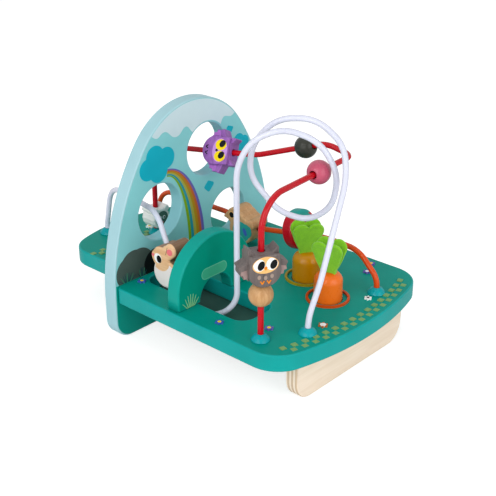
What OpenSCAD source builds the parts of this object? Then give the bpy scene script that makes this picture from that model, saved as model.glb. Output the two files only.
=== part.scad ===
// Wooden bead maze on a board with a sky panel, a tunnel hill and three bent wires.
// Millimetres, Z up, floor at z = 0. X runs along the board, the panel stands across it.

/* [Base board] */
// whole length of the board
base_length = 312; // [240:1:380]
// width of the front part of the board
base_width = 200; // [150:1:240]
// board thickness
base_thick = 15; // [10:0.5:22]
// height of the board's top above the floor
base_top = 52.5; // [40:0.5:70]
// bow radius of the front end
front_bow = 285; // [200:1:500]
// corner radius of the front end
front_corner = 30; // [15:1:45]
// width of the rear tongue that passes through the panel
tongue_width = 142; // [100:1:170]
// bow radius of the rear end
rear_bow = 170; // [120:1:300]
// corner radius of the rear end
rear_corner = 27; // [12:1:40]
// small radius of the shoulder corners beside the panel
shoulder_round = 4; // [1:0.5:8]

/* [Slot under the hill] */
// rear end of the slot
slot_rear = -39; // [-42:0.5:-20]
// front end of the slot
slot_front = 81; // [60:0.5:110]
// middle of the slot across the board
slot_y = -51.5; // [-60:0.5:-40]
// slot width
slot_width = 41.5; // [30:0.5:50]
// slot corner radius
slot_round = 13; // [4:0.5:20]
// thickness of the plate that closes the slot below
plate_thick = 3; // [2:0.5:6]
// how far the plate reaches past the slot at its sides and front
plate_lap = 10; // [6:0.5:16]
// how far the plate reaches past the slot at its rear end
plate_lap_rear = 4; // [2:0.5:4.5]
// plate corner radius
plate_round = 8; // [3:0.5:12]

/* [Sky panel] */
// front face of the panel
panel_x = -44; // [-60:1:-30]
// panel thickness
panel_thick = 14; // [10:0.5:18]
// half width where the sides stand upright
panel_half = 102.5; // [80:0.5:120]
// height where the side arcs begin
panel_spring = 40; // [30:1:60]
// radius of the side arcs
panel_side = 224; // [200:1:300]
// radius of the top arc
panel_top = 74; // [50:1:90]
// radius of the foot corners
panel_foot = 17; // [6:1:25]
// left hole centre, across and up
hole_left = [-44.3, 107.7];
// left hole radius
hole_left_r = 26; // [20:0.5:30]
// top hole centre, across and up
hole_high = [15.7, 151.3];
// top hole radius
hole_high_r = 24.7; // [18:0.1:28]
// right hole centre, across and up
hole_right = [43.3, 81.2];
// right hole radius
hole_right_r = 23; // [18:0.5:26]

/* [Front leg] */
// outer face of the leg
leg_x = 139.5; // [120:0.5:150]
// leg thickness
leg_thick = 12; // [8:0.5:18]
// leg length across the board
leg_length = 146; // [100:1:180]
// radius of the lower corners
leg_round = 18; // [6:1:18]

/* [Tunnel hill] */
// front face of the hill
hill_x = 30; // [10:0.5:50]
// hill thickness
hill_thick = 13.5; // [8:0.5:20]
// middle of the hill across the board
hill_y = -50.5; // [-60:0.5:-40]
// arch radius
hill_r = 45.6; // [35:0.1:48]
// height of the arch centre above the board
hill_rise = 13; // [4:0.5:20]
// tunnel radius
tunnel_r = 19.5; // [14:0.5:24]

/* [Wires] */
// wire diameter with its coating
wire_d = 5; // [3:0.1:7]
// white wire: corner points and bend radius, from the rear cap to the front cap
white_bends = [
    [-141, -26.5, 40, 0], [-141, -26.5, 62, 30], [-128.5, -29.5, 105.5, 26],
    [-38.7, -54, 112.5, 24], [5.9, -64.5, 41, 15], [30.3, -68.2, 41, 10], [55.5, -52, 41, 24],
    [55.5, -52, 177, 48], [66, -46, 200, 32], [85, -30, 210, 32],
    [107.5, -12, 200, 37], [119.5, -1.5, 172, 40], [113, -0.5, 142, 28],
    [95, -8, 127.5, 23], [73, -20.5, 133.5, 33], [54, -35, 164.5, 32],
    [56, -34.5, 191, 38], [73, -25, 214.5, 33], [101.5, -9.5, 217, 34],
    [124, -1.5, 197.5, 31], [130, -5.5, 171.5, 78], [133, -38.5, 95, 90],
    [130.5, -49.5, 66, 50], [130.5, -49.5, 40, 0]];
// red wire: corner points and bend radius, from the front cap to the rear cap
red_bends = [
    [109, -82.5, 40, 0], [109, -82.5, 171.5, 27], [99, 43, 171.5, 7],
    [74, 39.5, 177.5, 30], [4, 31, 152.5, 50], [-105.5, 5.5, 143, 25],
    [-105.5, 5.5, 40, 0]];
// orange wire: corner points and bend radius, from the front cap to the rear cap
orange_bends = [
    [130, 45.5, 40, 0], [130, 45.5, 66, 18], [109, 45.5, 87, 28],
    [71, 45.5, 87.5, 90], [-3, 44.5, 74, 40], [-48, 43.5, 79.8, 60],
    [-139, 41.5, 79.8, 20], [-139, 41.5, 40, 0]];
// cap diameter
cap_d = 16; // [10:0.5:22]
// cap height
cap_h = 6; // [3:0.5:9]

/* [Ball beads] */
// ball diameter
ball_d = 20; // [16:0.5:26]
// bore of the beads
bead_bore = 6.6; // [5.6:0.1:8]
// wider bore of the mouse and the bird, which ride near bends
animal_bore = 7; // [6:0.1:8]
// height of the natural ball's centre
natural_z = 93; // [75:0.5:105]
// share of the red wire's level stretch where the pink ball sits
pink_share = 0.61; // [0.3:0.01:0.8]
// share of the red wire's sloping stretch where the black ball sits
black_share = 0.28; // [0.2:0.01:0.8]

/* [Owl beads] */
// height of the owl without its ears
owl_h = 27; // [22:0.5:34]
// radius of the round belly
owl_r = 13.5; // [10:0.5:16]
// thickness of the body
owl_thick = 20; // [14:0.5:26]
// thickness of the layer with ears and wings
wing_thick = 12; // [8:0.5:18]
// half width of the head
owl_head = 12.5; // [9:0.5:15]
// height of the ear tips
ear_top = 33; // [28:0.5:40]
// half span over the wings
wing_half = 20.5; // [15:0.5:26]
// heading of the grey owl's face
owl_turn = 62; // [0:1:360]
// share of the red wire's stretch to the panel where the purple owl's foot end sits
purple_share = 0.46; // [0.4:0.01:0.6]

/* [Animal beads] */
// mouse thickness
mouse_thick = 21; // [14:0.5:26]
// place of the mouse's head centre
mouse_at = [-18.2, -60, 78.5];
// mouse head radius
mouse_head = 11; // [8:0.5:14]
// mouse body radius
mouse_body = 13.5; // [10:0.5:16]
// mouse ear radius
mouse_ear = 6.5; // [4:0.5:9]
// bird thickness
bird_thick = 22; // [14:0.5:28]
// bird head radius
bird_head = 8.5; // [6:0.5:12]
// bird body radius
bird_body = 14; // [10:0.5:17]
// share of the orange wire's stretch before the panel where the bird sits
bird_share = 0.37; // [0.2:0.01:0.8]
// sheep body radius
sheep_r = 10.5; // [9:0.5:15]
// sheep thickness
sheep_thick = 18; // [12:0.5:24]
// height of the sheep's underside
sheep_z = 59.5; // [59:0.5:80]
// wheel bead diameter
wheel_d = 37; // [26:0.5:44]
// wheel bead thickness
wheel_thick = 12; // [8:0.5:16]
// how far the wheel's middle sits above its bore
wheel_lift = 5; // [0:0.5:8]
// share of the orange wire's sloping stretch where the wheel sits
wheel_share = 0.37; // [0.2:0.01:0.8]

/* [Carrots] */
// carrot diameter
carrot_d = 25; // [20:0.5:30]
// height above the board
carrot_h = 26; // [18:0.5:36]
// depth of the carrot hole
carrot_sink = 10; // [6:0.5:12]
// radius of the dome edge
carrot_dome = 9; // [4:0.5:12]
// place of the mustard carrot
mustard_at = [66, 27.5];
// place of the orange carrot
orange_at = [105, 9];
// thickness of one felt layer
felt_thick = 3; // [1.5:0.1:4]
// half width of the leaf
leaf_half = 14; // [10:0.5:18]
// height of the leaf lobes above the carrot
leaf_h = 29; // [22:0.5:36]
// lean of each leaf layer
leaf_lean = 10; // [4:1:20]
// heading of the mustard carrot's leaf
mustard_turn = 54; // [0:1:360]
// heading of the orange carrot's leaf
orange_turn = 15; // [0:1:360]

/* [Fixings] */
// dowel diameter
dowel_d = 8; // [5:0.5:10]
// depth of each dowel end
dowel_deep = 10; // [6:0.5:12]
// half distance of the leg dowels
leg_dowel_y = 25; // [15:1:35]
// half distance of the panel dowels
panel_dowel_y = 86; // [78:1:92]
// hill dowel diameter
pin_d = 6; // [4:0.5:8]
// screw shank diameter
screw_d = 3.5; // [2.5:0.1:5]
// screw head diameter
head_d = 7; // [5:0.5:9]
// screw head height
head_h = 2; // [1:0.2:3]
// screw length under the head
screw_l = 13; // [8:0.5:16]

/* [Hidden] */
$fn = 96;
// gap between a loose part and its hole
clear = 0.4;
// how much thinner a bend is than the straight wire, and how far a rod reaches into it
bend_thin = 0.05;
bend_lap = 0.4;
// extra length that carries a cutter past a face
over = 1;
base_low = base_top - base_thick;
front_x = base_length / 2;
panel_back = panel_x - panel_thick;
rad = wire_d / 2;
// tangent points of the panel's top arc with its side arcs
arc_reach = panel_side - panel_half;
top_z = panel_spring + sqrt(pow(panel_side - panel_top, 2) - pow(arc_reach, 2));
meet_y = panel_top * arc_reach / (panel_side - panel_top);
meet_z = top_z + panel_top * (top_z - panel_spring) / (panel_side - panel_top);
hill_mid = hill_x - hill_thick / 2;
hill_foot_near = hill_y - (hill_r + tunnel_r) / 2;
hill_foot_far = hill_y + (hill_r + tunnel_r) / 2;
leg_mid = leg_x - leg_thick / 2;
// shares that place the lobes, lugs and tails of the small animals on their radii
lobe_share = 0.54;
snout_share = 1.1;
half_share = 0.5;
third_share = 1 / 3;
fifth_share = 0.2;
tuck_share = 0.92;

// vector helpers for the bent wires
function unit(v) = v / norm(v);
function spot(row) = [row[0], row[1], row[2]];
function way(list, i) = unit(spot(list[i + 1]) - spot(list[i]));
function bend(list, i) = acos(way(list, i - 1) * way(list, i));
function is_end(list, i) = i == 0 || i == len(list) - 1;
function trim(list, i) = is_end(list, i) ? 0 : list[i][3] * tan(bend(list, i) / 2);
function lap(list, i) = is_end(list, i) ? 0 : bend_lap;
function along(list, i, share) = spot(list[i]) * (1 - share) + spot(list[i + 1]) * share;

// a child is carried to a point with its Z on the axis and its -Y towards the face direction
module carry(at, axis, face) {
    z = unit(axis);
    y = -unit(face - (face * z) * z);
    x = cross(y, z);
    multmatrix([[x[0], y[0], z[0], at[0]], [x[1], y[1], z[1], at[1]],
        [x[2], y[2], z[2], at[2]], [0, 0, 0, 1]]) children();
}

// straight piece of wire
module rod(from, to) {
    d = to - from;
    translate(from) rotate([0, acos(d[2] / norm(d)), atan2(d[1], d[0])])
        cylinder(h = norm(d), r = rad);
}

// bent piece of wire at one corner, a little thinner from the bending
module elbow(list, i) {
    a = way(list, i - 1);
    b = way(list, i);
    r = list[i][3];
    c = spot(list[i]) + unit(b - a) * r / cos(bend(list, i) / 2);
    e = unit(spot(list[i]) - a * trim(list, i) - c);
    n = cross(e, a);
    multmatrix([[e[0], a[0], n[0], c[0]], [e[1], a[1], n[1], c[1]],
        [e[2], a[2], n[2], c[2]], [0, 0, 0, 1]])
        rotate_extrude(angle = bend(list, i)) translate([r, 0]) circle(r = rad - bend_thin);
}

// a wire from its corner list: rods that reach a little way into the bends between them
module bent_wire(list) {
    for (i = [0 : len(list) - 2])
        rod(spot(list[i]) + way(list, i) * (trim(list, i) - lap(list, i)),
            spot(list[i + 1]) - way(list, i) * (trim(list, i + 1) - lap(list, i + 1)));
    for (i = [1 : len(list) - 2]) elbow(list, i);
}

// vertical hole or peg for a wire end
module wire_end(row, r, low, high) {
    translate([row[0], row[1], low]) cylinder(h = high - low, r = r);
}

// both ends of every wire
module at_wire_ends() {
    for (list = [white_bends, red_bends, orange_bends], i = [0, len(list) - 1])
        translate([list[i][0], list[i][1], base_top]) children();
}

// flat outline of one rounded, bowed end that points to +X and begins at x = 0
module bowed_end(reach, width, bow, corner) {
    half = width / 2;
    centre_y = half - corner;
    bow_x = reach - bow;
    centre_x = bow_x + sqrt(pow(bow - corner, 2) - pow(centre_y, 2));
    touch_y = bow * centre_y / (bow - corner);
    translate([0, -half]) square([centre_x, width]);
    for (side = [-1, 1]) translate([centre_x, side * centre_y]) circle(r = corner);
    intersection() {
        translate([bow_x, 0]) circle(r = bow, $fn = 360);
        translate([0, -touch_y]) square([reach + over, 2 * touch_y]);
    }
}

// flat rounded rectangle about its middle
module soft_rect(size, r) {
    square([size[0] - 2 * r, size[1]], center = true);
    square([size[0], size[1] - 2 * r], center = true);
    for (sx = [-1, 1], sy = [-1, 1])
        translate([sx * (size[0] / 2 - r), sy * (size[1] / 2 - r)]) circle(r = r);
}

// flat outline of the slot grown by a side lap
module slot_shape(rear, front, width, r) {
    translate([(rear + front) / 2, slot_y]) soft_rect([front - rear, width], r);
}

// a child standing across the board, its flat X along Y and its flat Y up
module across(x_low, thick) {
    translate([x_low, 0, 0]) rotate([90, 0, 90]) linear_extrude(height = thick) children();
}

// pairs of fixings
module at_leg_dowels() {
    for (side = [-1, 1]) translate([leg_mid, side * leg_dowel_y, base_low - dowel_deep]) children();
}
module at_panel_dowels() {
    for (side = [-1, 1])
        translate([panel_x - dowel_deep, side * panel_dowel_y, base_low + base_thick / 2])
            rotate([0, 90, 0]) children();
}
module at_hill_pins() {
    for (y = [hill_foot_near, hill_foot_far]) translate([hill_mid, y, base_top - dowel_deep]) children();
}
module at_plate_screws() {
    for (x = [slot_rear + slot_round, slot_front - slot_round], side = [-1, 1])
        translate([x, slot_y + side * (slot_width + plate_lap) / 2, base_low - plate_thick]) children();
}
module dowel(d) {
    cylinder(h = 2 * dowel_deep, d = d);
}

module base_shape() {
    difference() {
        union() {
            translate([panel_x + shoulder_round, 0])
                bowed_end(front_x - panel_x - shoulder_round, base_width, front_bow, front_corner);
            for (side = [-1, 1])
                translate([panel_x + shoulder_round, side * (base_width / 2 - shoulder_round)])
                    circle(r = shoulder_round);
            translate([panel_x, shoulder_round - base_width / 2])
                square([2 * shoulder_round, base_width - 2 * shoulder_round]);
            translate([panel_x + over, 0]) mirror([1, 0])
                bowed_end(front_x + panel_x + over, tongue_width, rear_bow, rear_corner);
        }
        slot_shape(slot_rear, slot_front, slot_width, slot_round);
    }
}

module base_board() {
    color("#00826f") difference() {
        translate([0, 0, base_low]) linear_extrude(height = base_thick) base_shape();
        for (at = [mustard_at, orange_at]) translate([at[0], at[1], base_top - carrot_sink])
            cylinder(h = carrot_sink + over, d = carrot_d + 2 * clear);
        for (list = [white_bends, red_bends, orange_bends], i = [0, len(list) - 1])
            wire_end(list[i], rad, list[i][2], base_top + over);
        at_leg_dowels() dowel(dowel_d);
        at_panel_dowels() dowel(dowel_d);
        at_hill_pins() dowel(pin_d);
        at_plate_screws() cylinder(h = screw_l, d = screw_d);
    }
}

module slot_plate() {
    color("#2d4b46") difference() {
        translate([0, 0, base_low - plate_thick]) linear_extrude(height = plate_thick)
            slot_shape(slot_rear - plate_lap_rear, slot_front + plate_lap,
                slot_width + 2 * plate_lap, plate_round);
        at_plate_screws() translate([0, 0, -over]) cylinder(h = screw_l, d = screw_d);
    }
}

module plate_screws() {
    color("#b8bcc0") at_plate_screws() {
        translate([0, 0, -head_h]) cylinder(h = head_h, d = head_d);
        cylinder(h = screw_l, d = screw_d);
    }
}

// flat outline of the panel, across and up
module panel_shape() {
    translate([-panel_half, panel_foot]) square([2 * panel_half, panel_spring - panel_foot]);
    translate([panel_foot - panel_half, 0]) square([2 * (panel_half - panel_foot), panel_spring]);
    for (side = [-1, 1]) translate([side * (panel_half - panel_foot), panel_foot]) circle(r = panel_foot);
    intersection() {
        translate([-panel_half, panel_spring])
            square([2 * panel_half, meet_z - panel_spring]);
        for_both_sides();
    }
    intersection() {
        translate([0, top_z]) circle(r = panel_top, $fn = 180);
        translate([-meet_y, meet_z - over]) square([2 * meet_y, panel_top]);
    }
}

// lens between the two side arcs
module for_both_sides() {
    intersection() {
        translate([arc_reach, panel_spring]) circle(r = panel_side, $fn = 360);
        translate([-arc_reach, panel_spring]) circle(r = panel_side, $fn = 360);
    }
}

module sky_panel() {
    color("#7dbebe") difference() {
        across(panel_back, panel_thick) difference() {
            panel_shape();
            translate(hole_left) circle(r = hole_left_r);
            translate(hole_high) circle(r = hole_high_r);
            translate(hole_right) circle(r = hole_right_r);
            translate([-tongue_width / 2, base_low]) square([tongue_width, base_thick]);
        }
        at_panel_dowels() dowel(dowel_d);
    }
}

module panel_dowels() {
    color("#d9b98a") at_panel_dowels() dowel(dowel_d);
}

module front_leg() {
    color("#f0dec8") difference() {
        across(leg_x - leg_thick, leg_thick) {
            translate([-leg_length / 2, leg_round]) square([leg_length, base_low - leg_round]);
            translate([leg_round - leg_length / 2, 0]) square([leg_length - 2 * leg_round, base_low]);
            for (side = [-1, 1]) translate([side * (leg_length / 2 - leg_round), leg_round])
                circle(r = leg_round);
        }
        at_leg_dowels() dowel(dowel_d);
    }
}

module leg_dowels() {
    color("#d9b98a") at_leg_dowels() dowel(dowel_d);
}

module tunnel_hill() {
    color("#009682") difference() {
        across(hill_x - hill_thick, hill_thick) difference() {
            union() {
                translate([hill_y, base_top + hill_rise]) circle(r = hill_r);
                translate([hill_y - hill_r, base_top]) square([2 * hill_r, hill_rise]);
            }
            translate([hill_y - hill_r, base_top - hill_r]) square([2 * hill_r, hill_r]);
            translate([hill_y, base_top]) circle(r = tunnel_r);
        }
        at_hill_pins() dowel(pin_d);
    }
}

module hill_pins() {
    color("#d9b98a") at_hill_pins() dowel(pin_d);
}

module white_wire() {
    color("#ebebf8") bent_wire(white_bends);
}
module red_wire() {
    color("#c80a1e") bent_wire(red_bends);
}
module orange_wire() {
    color("#dc5019") bent_wire(orange_bends);
}

// domed plastic cap round each wire end
module wire_caps() {
    dome = (pow(cap_d / 2, 2) + pow(cap_h, 2)) / (2 * cap_h);
    color("#009ba5") at_wire_ends() rotate_extrude() intersection() {
        translate([0, cap_h - dome]) circle(r = dome);
        translate([rad, 0]) square([cap_d, cap_h]);
    }
}

// a bored ball about its own middle, bore along Z
module bored_ball() {
    difference() {
        sphere(d = ball_d);
        cylinder(h = ball_d + 2 * over, d = bead_bore, center = true);
    }
}

module natural_ball() {
    color("#d7aa78") translate([red_bends[0][0], red_bends[0][1], natural_z]) bored_ball();
}
module pink_ball() {
    color("#d7647d") carry(along(red_bends, 1, pink_share), way(red_bends, 1), [0, 0, 1]) bored_ball();
}
module black_ball() {
    color("#3c3e37") carry(along(red_bends, 3, black_share), way(red_bends, 3), [0, 0, 1]) bored_ball();
}

// owl about its bore, foot end at z = 0, face towards -Y
module owl() {
    difference() {
        union() {
            rotate([90, 0, 0]) linear_extrude(height = owl_thick, center = true) {
                translate([0, owl_r]) circle(r = owl_r);
                translate([-owl_head, owl_r]) square([2 * owl_head, owl_h - owl_r]);
            }
            rotate([90, 0, 0]) linear_extrude(height = wing_thick, center = true) for (side = [0, 1])
                mirror([side, 0]) owl_side();
        }
        translate([0, 0, -over]) cylinder(h = ear_top + 2 * over, d = bead_bore);
    }
}

// flat ear and wing of one side
module owl_side() {
    polygon([[0, owl_r], [owl_head, owl_r], [owl_head, ear_top], [owl_head * half_share, owl_h],
        [0, owl_h]]);
    polygon([[0, owl_h * third_share], [owl_r, owl_h * fifth_share],
        [wing_half * (1 - fifth_share), owl_h * third_share], [wing_half, owl_h * (1 - third_share)],
        [owl_head, owl_h * (1 - fifth_share)], [0, owl_h * (1 - fifth_share)]]);
}

module grey_owl() {
    color("#736969") translate([red_bends[0][0], red_bends[0][1], natural_z + ball_d / 2 + clear])
        rotate([0, 0, owl_turn]) owl();
}
module purple_owl() {
    color("#8c55a0") carry(along(red_bends, 4, purple_share), -way(red_bends, 4), [0.17, -0.89, 0.43]) owl();
}

// bore along one straight stretch of a wire, a wire's width past both corners
module wire_bore(list, i) {
    carry(spot(list[i]), way(list, i), [0, -1, 0])
        translate([0, 0, -wire_d])
            cylinder(h = norm(spot(list[i + 1]) - spot(list[i])) + 2 * wire_d, d = animal_bore);
}

// flat mouse about its head centre, nose towards -X
module mouse_shape() {
    circle(r = mouse_head);
    polygon([[-mouse_head * snout_share, 0], [-mouse_head * lobe_share, -mouse_head * lobe_share],
        [0, -mouse_head * half_share], [0, mouse_head * half_share],
        [-mouse_head * lobe_share, mouse_head * lobe_share]]);
    translate([mouse_head + mouse_ear * fifth_share, mouse_head]) circle(r = mouse_ear);
    translate([mouse_head * third_share, -mouse_body]) circle(r = mouse_body);
    translate([mouse_head, -mouse_body]) circle(r = mouse_body);
}

module mouse() {
    color("#e1be96") difference() {
        translate(mouse_at) rotate([90, 0, 0])
            linear_extrude(height = mouse_thick, center = true) mouse_shape();
        wire_bore(white_bends, 3);
    }
}

// flat bird about its bore, beak towards -X
module bird_shape() {
    translate([-bird_head, bird_head * (1 - fifth_share)]) circle(r = bird_head);
    translate([fifth_share, -bird_body * third_share]) circle(r = bird_body);
    polygon([[-2 * bird_head, bird_head], [-2 * bird_head - bird_body * third_share, bird_head * half_share],
        [-bird_head * (1 + half_share), bird_head * fifth_share], [-bird_head, bird_head]]);
    polygon([[0, bird_body * half_share], [bird_body * half_share, -bird_body],
        [bird_body * (1 + fifth_share), -bird_body * third_share],
        [bird_body * snout_share, bird_body * half_share]]);
}

module garden_bird() {
    dir = way(orange_bends, 4);
    color("#b98c64") difference() {
        carry(along(orange_bends, 4, bird_share), [0, 0, 1], cross([0, 0, 1], dir))
            rotate([90, 0, 0]) linear_extrude(height = bird_thick, center = true) bird_shape();
        wire_bore(orange_bends, 4);
    }
}

module red_wheel() {
    color("#be0014") carry(along(orange_bends, 3, wheel_share), way(orange_bends, 3), [0, 0, -1])
        difference() {
            translate([0, wheel_lift, 0]) cylinder(h = wheel_thick, d = wheel_d, center = true);
            cylinder(h = wheel_thick + 2 * over, d = bead_bore, center = true);
        }
}

// sheep on the rear stretch of the red wire, face towards the panel
module sheep() {
    ear = sheep_r * third_share;
    color("#f2f0ec") translate([red_bends[6][0], red_bends[6][1], sheep_z]) difference() {
        translate([-sheep_thick / 2, 0, 0]) rotate([90, 0, 90]) linear_extrude(height = sheep_thick) {
            translate([0, sheep_r]) circle(r = sheep_r);
            for (side = [-1, 1]) translate([side * sheep_r * (1 - third_share), 2 * sheep_r - ear / 2])
                circle(r = ear);
        }
        translate([0, 0, -over]) cylinder(h = 3 * sheep_r, d = bead_bore);
    }
}

// turned carrot with a domed top and a slit for its leaf
module carrot(at, turn) {
    r = carrot_d / 2;
    top = base_top + carrot_h;
    translate([at[0], at[1], 0]) difference() {
        rotate_extrude() {
            translate([0, base_top - carrot_sink + clear])
                square([r, carrot_h + carrot_sink - clear - carrot_dome]);
            translate([0, top - 2 * carrot_dome]) square([r - carrot_dome, 2 * carrot_dome]);
            intersection() {
                translate([r - carrot_dome, top - carrot_dome]) circle(r = carrot_dome);
                translate([0, top - carrot_dome]) square([r, carrot_dome]);
            }
        }
        rotate([0, 0, turn]) translate([0, 0, top])
            cube([leaf_half + 2 * clear, 2 * felt_thick, carrot_dome], center = true);
    }
}

// flat leaf layer, tip down at the fold
module leaf_shape() {
    lobe = leaf_half * lobe_share;
    lobe_z = leaf_h - lobe;
    for (side = [-1, 1]) translate([side * (leaf_half - lobe), lobe_z]) circle(r = lobe);
    polygon([[-leaf_half * half_share, 0], [leaf_half * half_share, 0],
        [leaf_half * (1 - fifth_share), lobe_z * half_share], [leaf_half * tuck_share, lobe_z],
        [0, lobe_z + lobe * third_share], [-leaf_half * tuck_share, lobe_z],
        [-leaf_half * (1 - fifth_share), lobe_z * half_share]]);
}

// two felt layers that part from one fold in the carrot's slit
module leaf(at, turn) {
    translate([at[0], at[1], base_top + carrot_h]) rotate([0, 0, turn]) {
        for (side = [-1, 1]) rotate([side * leaf_lean, 0, 0]) translate([0, -side * felt_thick / 2, 0])
            rotate([90, 0, 0]) linear_extrude(height = felt_thick, center = true) leaf_shape();
        fold = carrot_dome / 2 + felt_thick;
        translate([0, 0, felt_thick - fold / 2])
            cube([leaf_half + clear, 2 * felt_thick, fold], center = true);
    }
}

module mustard_carrot() {
    color("#be7d00") carrot(mustard_at, mustard_turn);
}
module mustard_leaf() {
    color("#78b923") leaf(mustard_at, mustard_turn);
}
module orange_carrot() {
    color("#e6691e") carrot(orange_at, orange_turn);
}
module orange_leaf() {
    color("#78b923") leaf(orange_at, orange_turn);
}

base_board();
slot_plate();
plate_screws();
sky_panel();
panel_dowels();
front_leg();
leg_dowels();
tunnel_hill();
hill_pins();
white_wire();
red_wire();
orange_wire();
wire_caps();
natural_ball();
grey_owl();
pink_ball();
black_ball();
purple_owl();
garden_bird();
red_wheel();
mouse();
sheep();
mustard_carrot();
mustard_leaf();
orange_carrot();
orange_leaf();
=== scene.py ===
import math
import bpy
import numpy as np
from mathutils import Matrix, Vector
from mathutils.geometry import tessellate_polygon


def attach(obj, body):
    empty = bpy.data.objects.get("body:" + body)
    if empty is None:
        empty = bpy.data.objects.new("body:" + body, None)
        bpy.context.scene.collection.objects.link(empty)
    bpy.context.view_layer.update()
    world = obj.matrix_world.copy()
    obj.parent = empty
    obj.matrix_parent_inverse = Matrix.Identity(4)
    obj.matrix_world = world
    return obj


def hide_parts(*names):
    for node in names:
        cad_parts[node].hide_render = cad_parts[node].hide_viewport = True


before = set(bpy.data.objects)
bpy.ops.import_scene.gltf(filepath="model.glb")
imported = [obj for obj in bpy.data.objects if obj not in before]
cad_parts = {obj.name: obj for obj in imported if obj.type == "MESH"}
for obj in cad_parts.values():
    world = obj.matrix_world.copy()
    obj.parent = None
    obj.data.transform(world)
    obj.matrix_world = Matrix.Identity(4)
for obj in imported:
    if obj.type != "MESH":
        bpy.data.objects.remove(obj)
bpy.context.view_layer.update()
scene = bpy.context.scene
mm = 0.001  # sizes of the toy are in millimetres, Blender's in metres
print("frame loaded:", len(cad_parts), "nodes")


# Colours and shader nodes
def linear(hexText):  # sRGB hex to linear RGBA
    c = np.array([int(hexText[i:i + 2], 16) for i in (1, 3, 5)]) / 255
    c = np.where(c <= 0.04045, c / 12.92, ((c + 0.055) / 1.055) ** 2.4)
    return tuple(float(v) for v in c) + (1.0,)


# links a node's inputs or gives them values; a node stands for its first output
def setInputs(tree, node, inputs):
    for socket, value in inputs.items():
        if isinstance(value, bpy.types.Node):
            value = value.outputs[0]
        if isinstance(value, bpy.types.NodeSocket):
            tree.links.new(value, node.inputs[socket])
        else:
            node.inputs[socket].default_value = value


# adds a shader node with its settings and inputs; stops are the places and hex colours of a colour ramp
def addNode(tree, kind, inputs=None, stops=(), **settings):
    node = tree.nodes.new("ShaderNode" + kind)
    for name, value in settings.items():
        setattr(node, name, value)
    for i, (place, colour) in enumerate(stops):
        stop = node.color_ramp.elements[i] if i < 2 else node.color_ramp.elements.new(place)
        stop.position, stop.color = place, linear(colour)
    setInputs(tree, node, inputs or {})
    return node


def newMaterial(name):  # a bare material with its shader, and the piece's own coordinates for patterns
    mat = bpy.data.materials.new(name)
    mat.use_nodes = True
    tree = mat.node_tree
    tree.nodes.clear()
    shader = addNode(tree, "BsdfPrincipled")
    addNode(tree, "OutputMaterial", {0: shader})
    return mat, tree, shader, addNode(tree, "TexCoord").outputs["Object"]


# sprayed paint on sanded wood, enamel on wire or gloss plastic: even colour, faint clouding and a soft
# orange peel, which is drawn coarser than the real one so that it shows
def paint(name, colour, shade, roughness=0.38, coat=0.0, peelMm=1.6, peel=0.05, gloss=0.18, cloudMm=35):
    mat, tree, shader, place = newMaterial(name)
    cloud = addNode(tree, "TexNoise", {"Vector": place, "Scale": 1 / (cloudMm * mm), "Detail": 4.0})
    speck = addNode(tree, "TexNoise", {"Vector": place, "Scale": 1 / (peelMm * mm), "Detail": 2.0})
    tone = addNode(tree, "ValToRGB", {0: cloud}, [(0.3, shade), (0.7, colour)])
    rough = addNode(tree, "MapRange", {0: speck, 1: 0.3, 2: 0.7, 3: roughness - 0.04, 4: roughness + 0.05})
    bump = addNode(tree, "Bump", {"Height": speck, "Strength": peel, "Distance": 0.4 * mm})
    setInputs(tree, shader, {"Base Color": tone, "Roughness": rough, "Normal": bump,
                             "Specular IOR Level": gloss, "Coat Weight": coat, "Coat Roughness": 0.12})
    return mat


# printed ink: flat colour with a trace of dot noise, under the same lacquer as the paint
def ink(name, colour, shade):
    return paint(name, colour, shade, 0.4, peelMm=0.9, peel=0.02, gloss=0.1)


# clear-lacquered or stained solid wood: long grain lines along one axis, fine pores, soft sheen
def grainWood(name, light, dark, ringMm=5.0, turn=(0, 0, 0), roughness=0.42, along=(0, 0, 1)):
    mat, tree, shader, place = newMaterial(name)
    stretch = [0.12 if a else 1.0 for a in along]
    mapped = addNode(tree, "Mapping", {"Vector": place, "Rotation": turn, "Scale": stretch})
    warp = addNode(tree, "TexNoise", {"Vector": mapped, "Scale": 1 / (3 * ringMm * mm), "Detail": 3.0})
    lines = addNode(tree, "TexNoise", {"Vector": mapped, "Scale": 1 / (0.5 * ringMm * mm), "Detail": 6.0,
                                       "Distortion": 0.6})
    both = addNode(tree, "Mix", {0: 0.55, 2: warp, 3: lines}, data_type="FLOAT")
    tone = addNode(tree, "ValToRGB", {0: both}, [(0.36, dark), (0.6, light)])
    bump = addNode(tree, "Bump", {"Height": lines, "Strength": 0.08, "Distance": 0.4 * mm})
    setInputs(tree, shader, {"Base Color": tone, "Normal": bump, "Roughness": roughness,
                             "Specular IOR Level": 0.25})
    return mat


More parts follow.
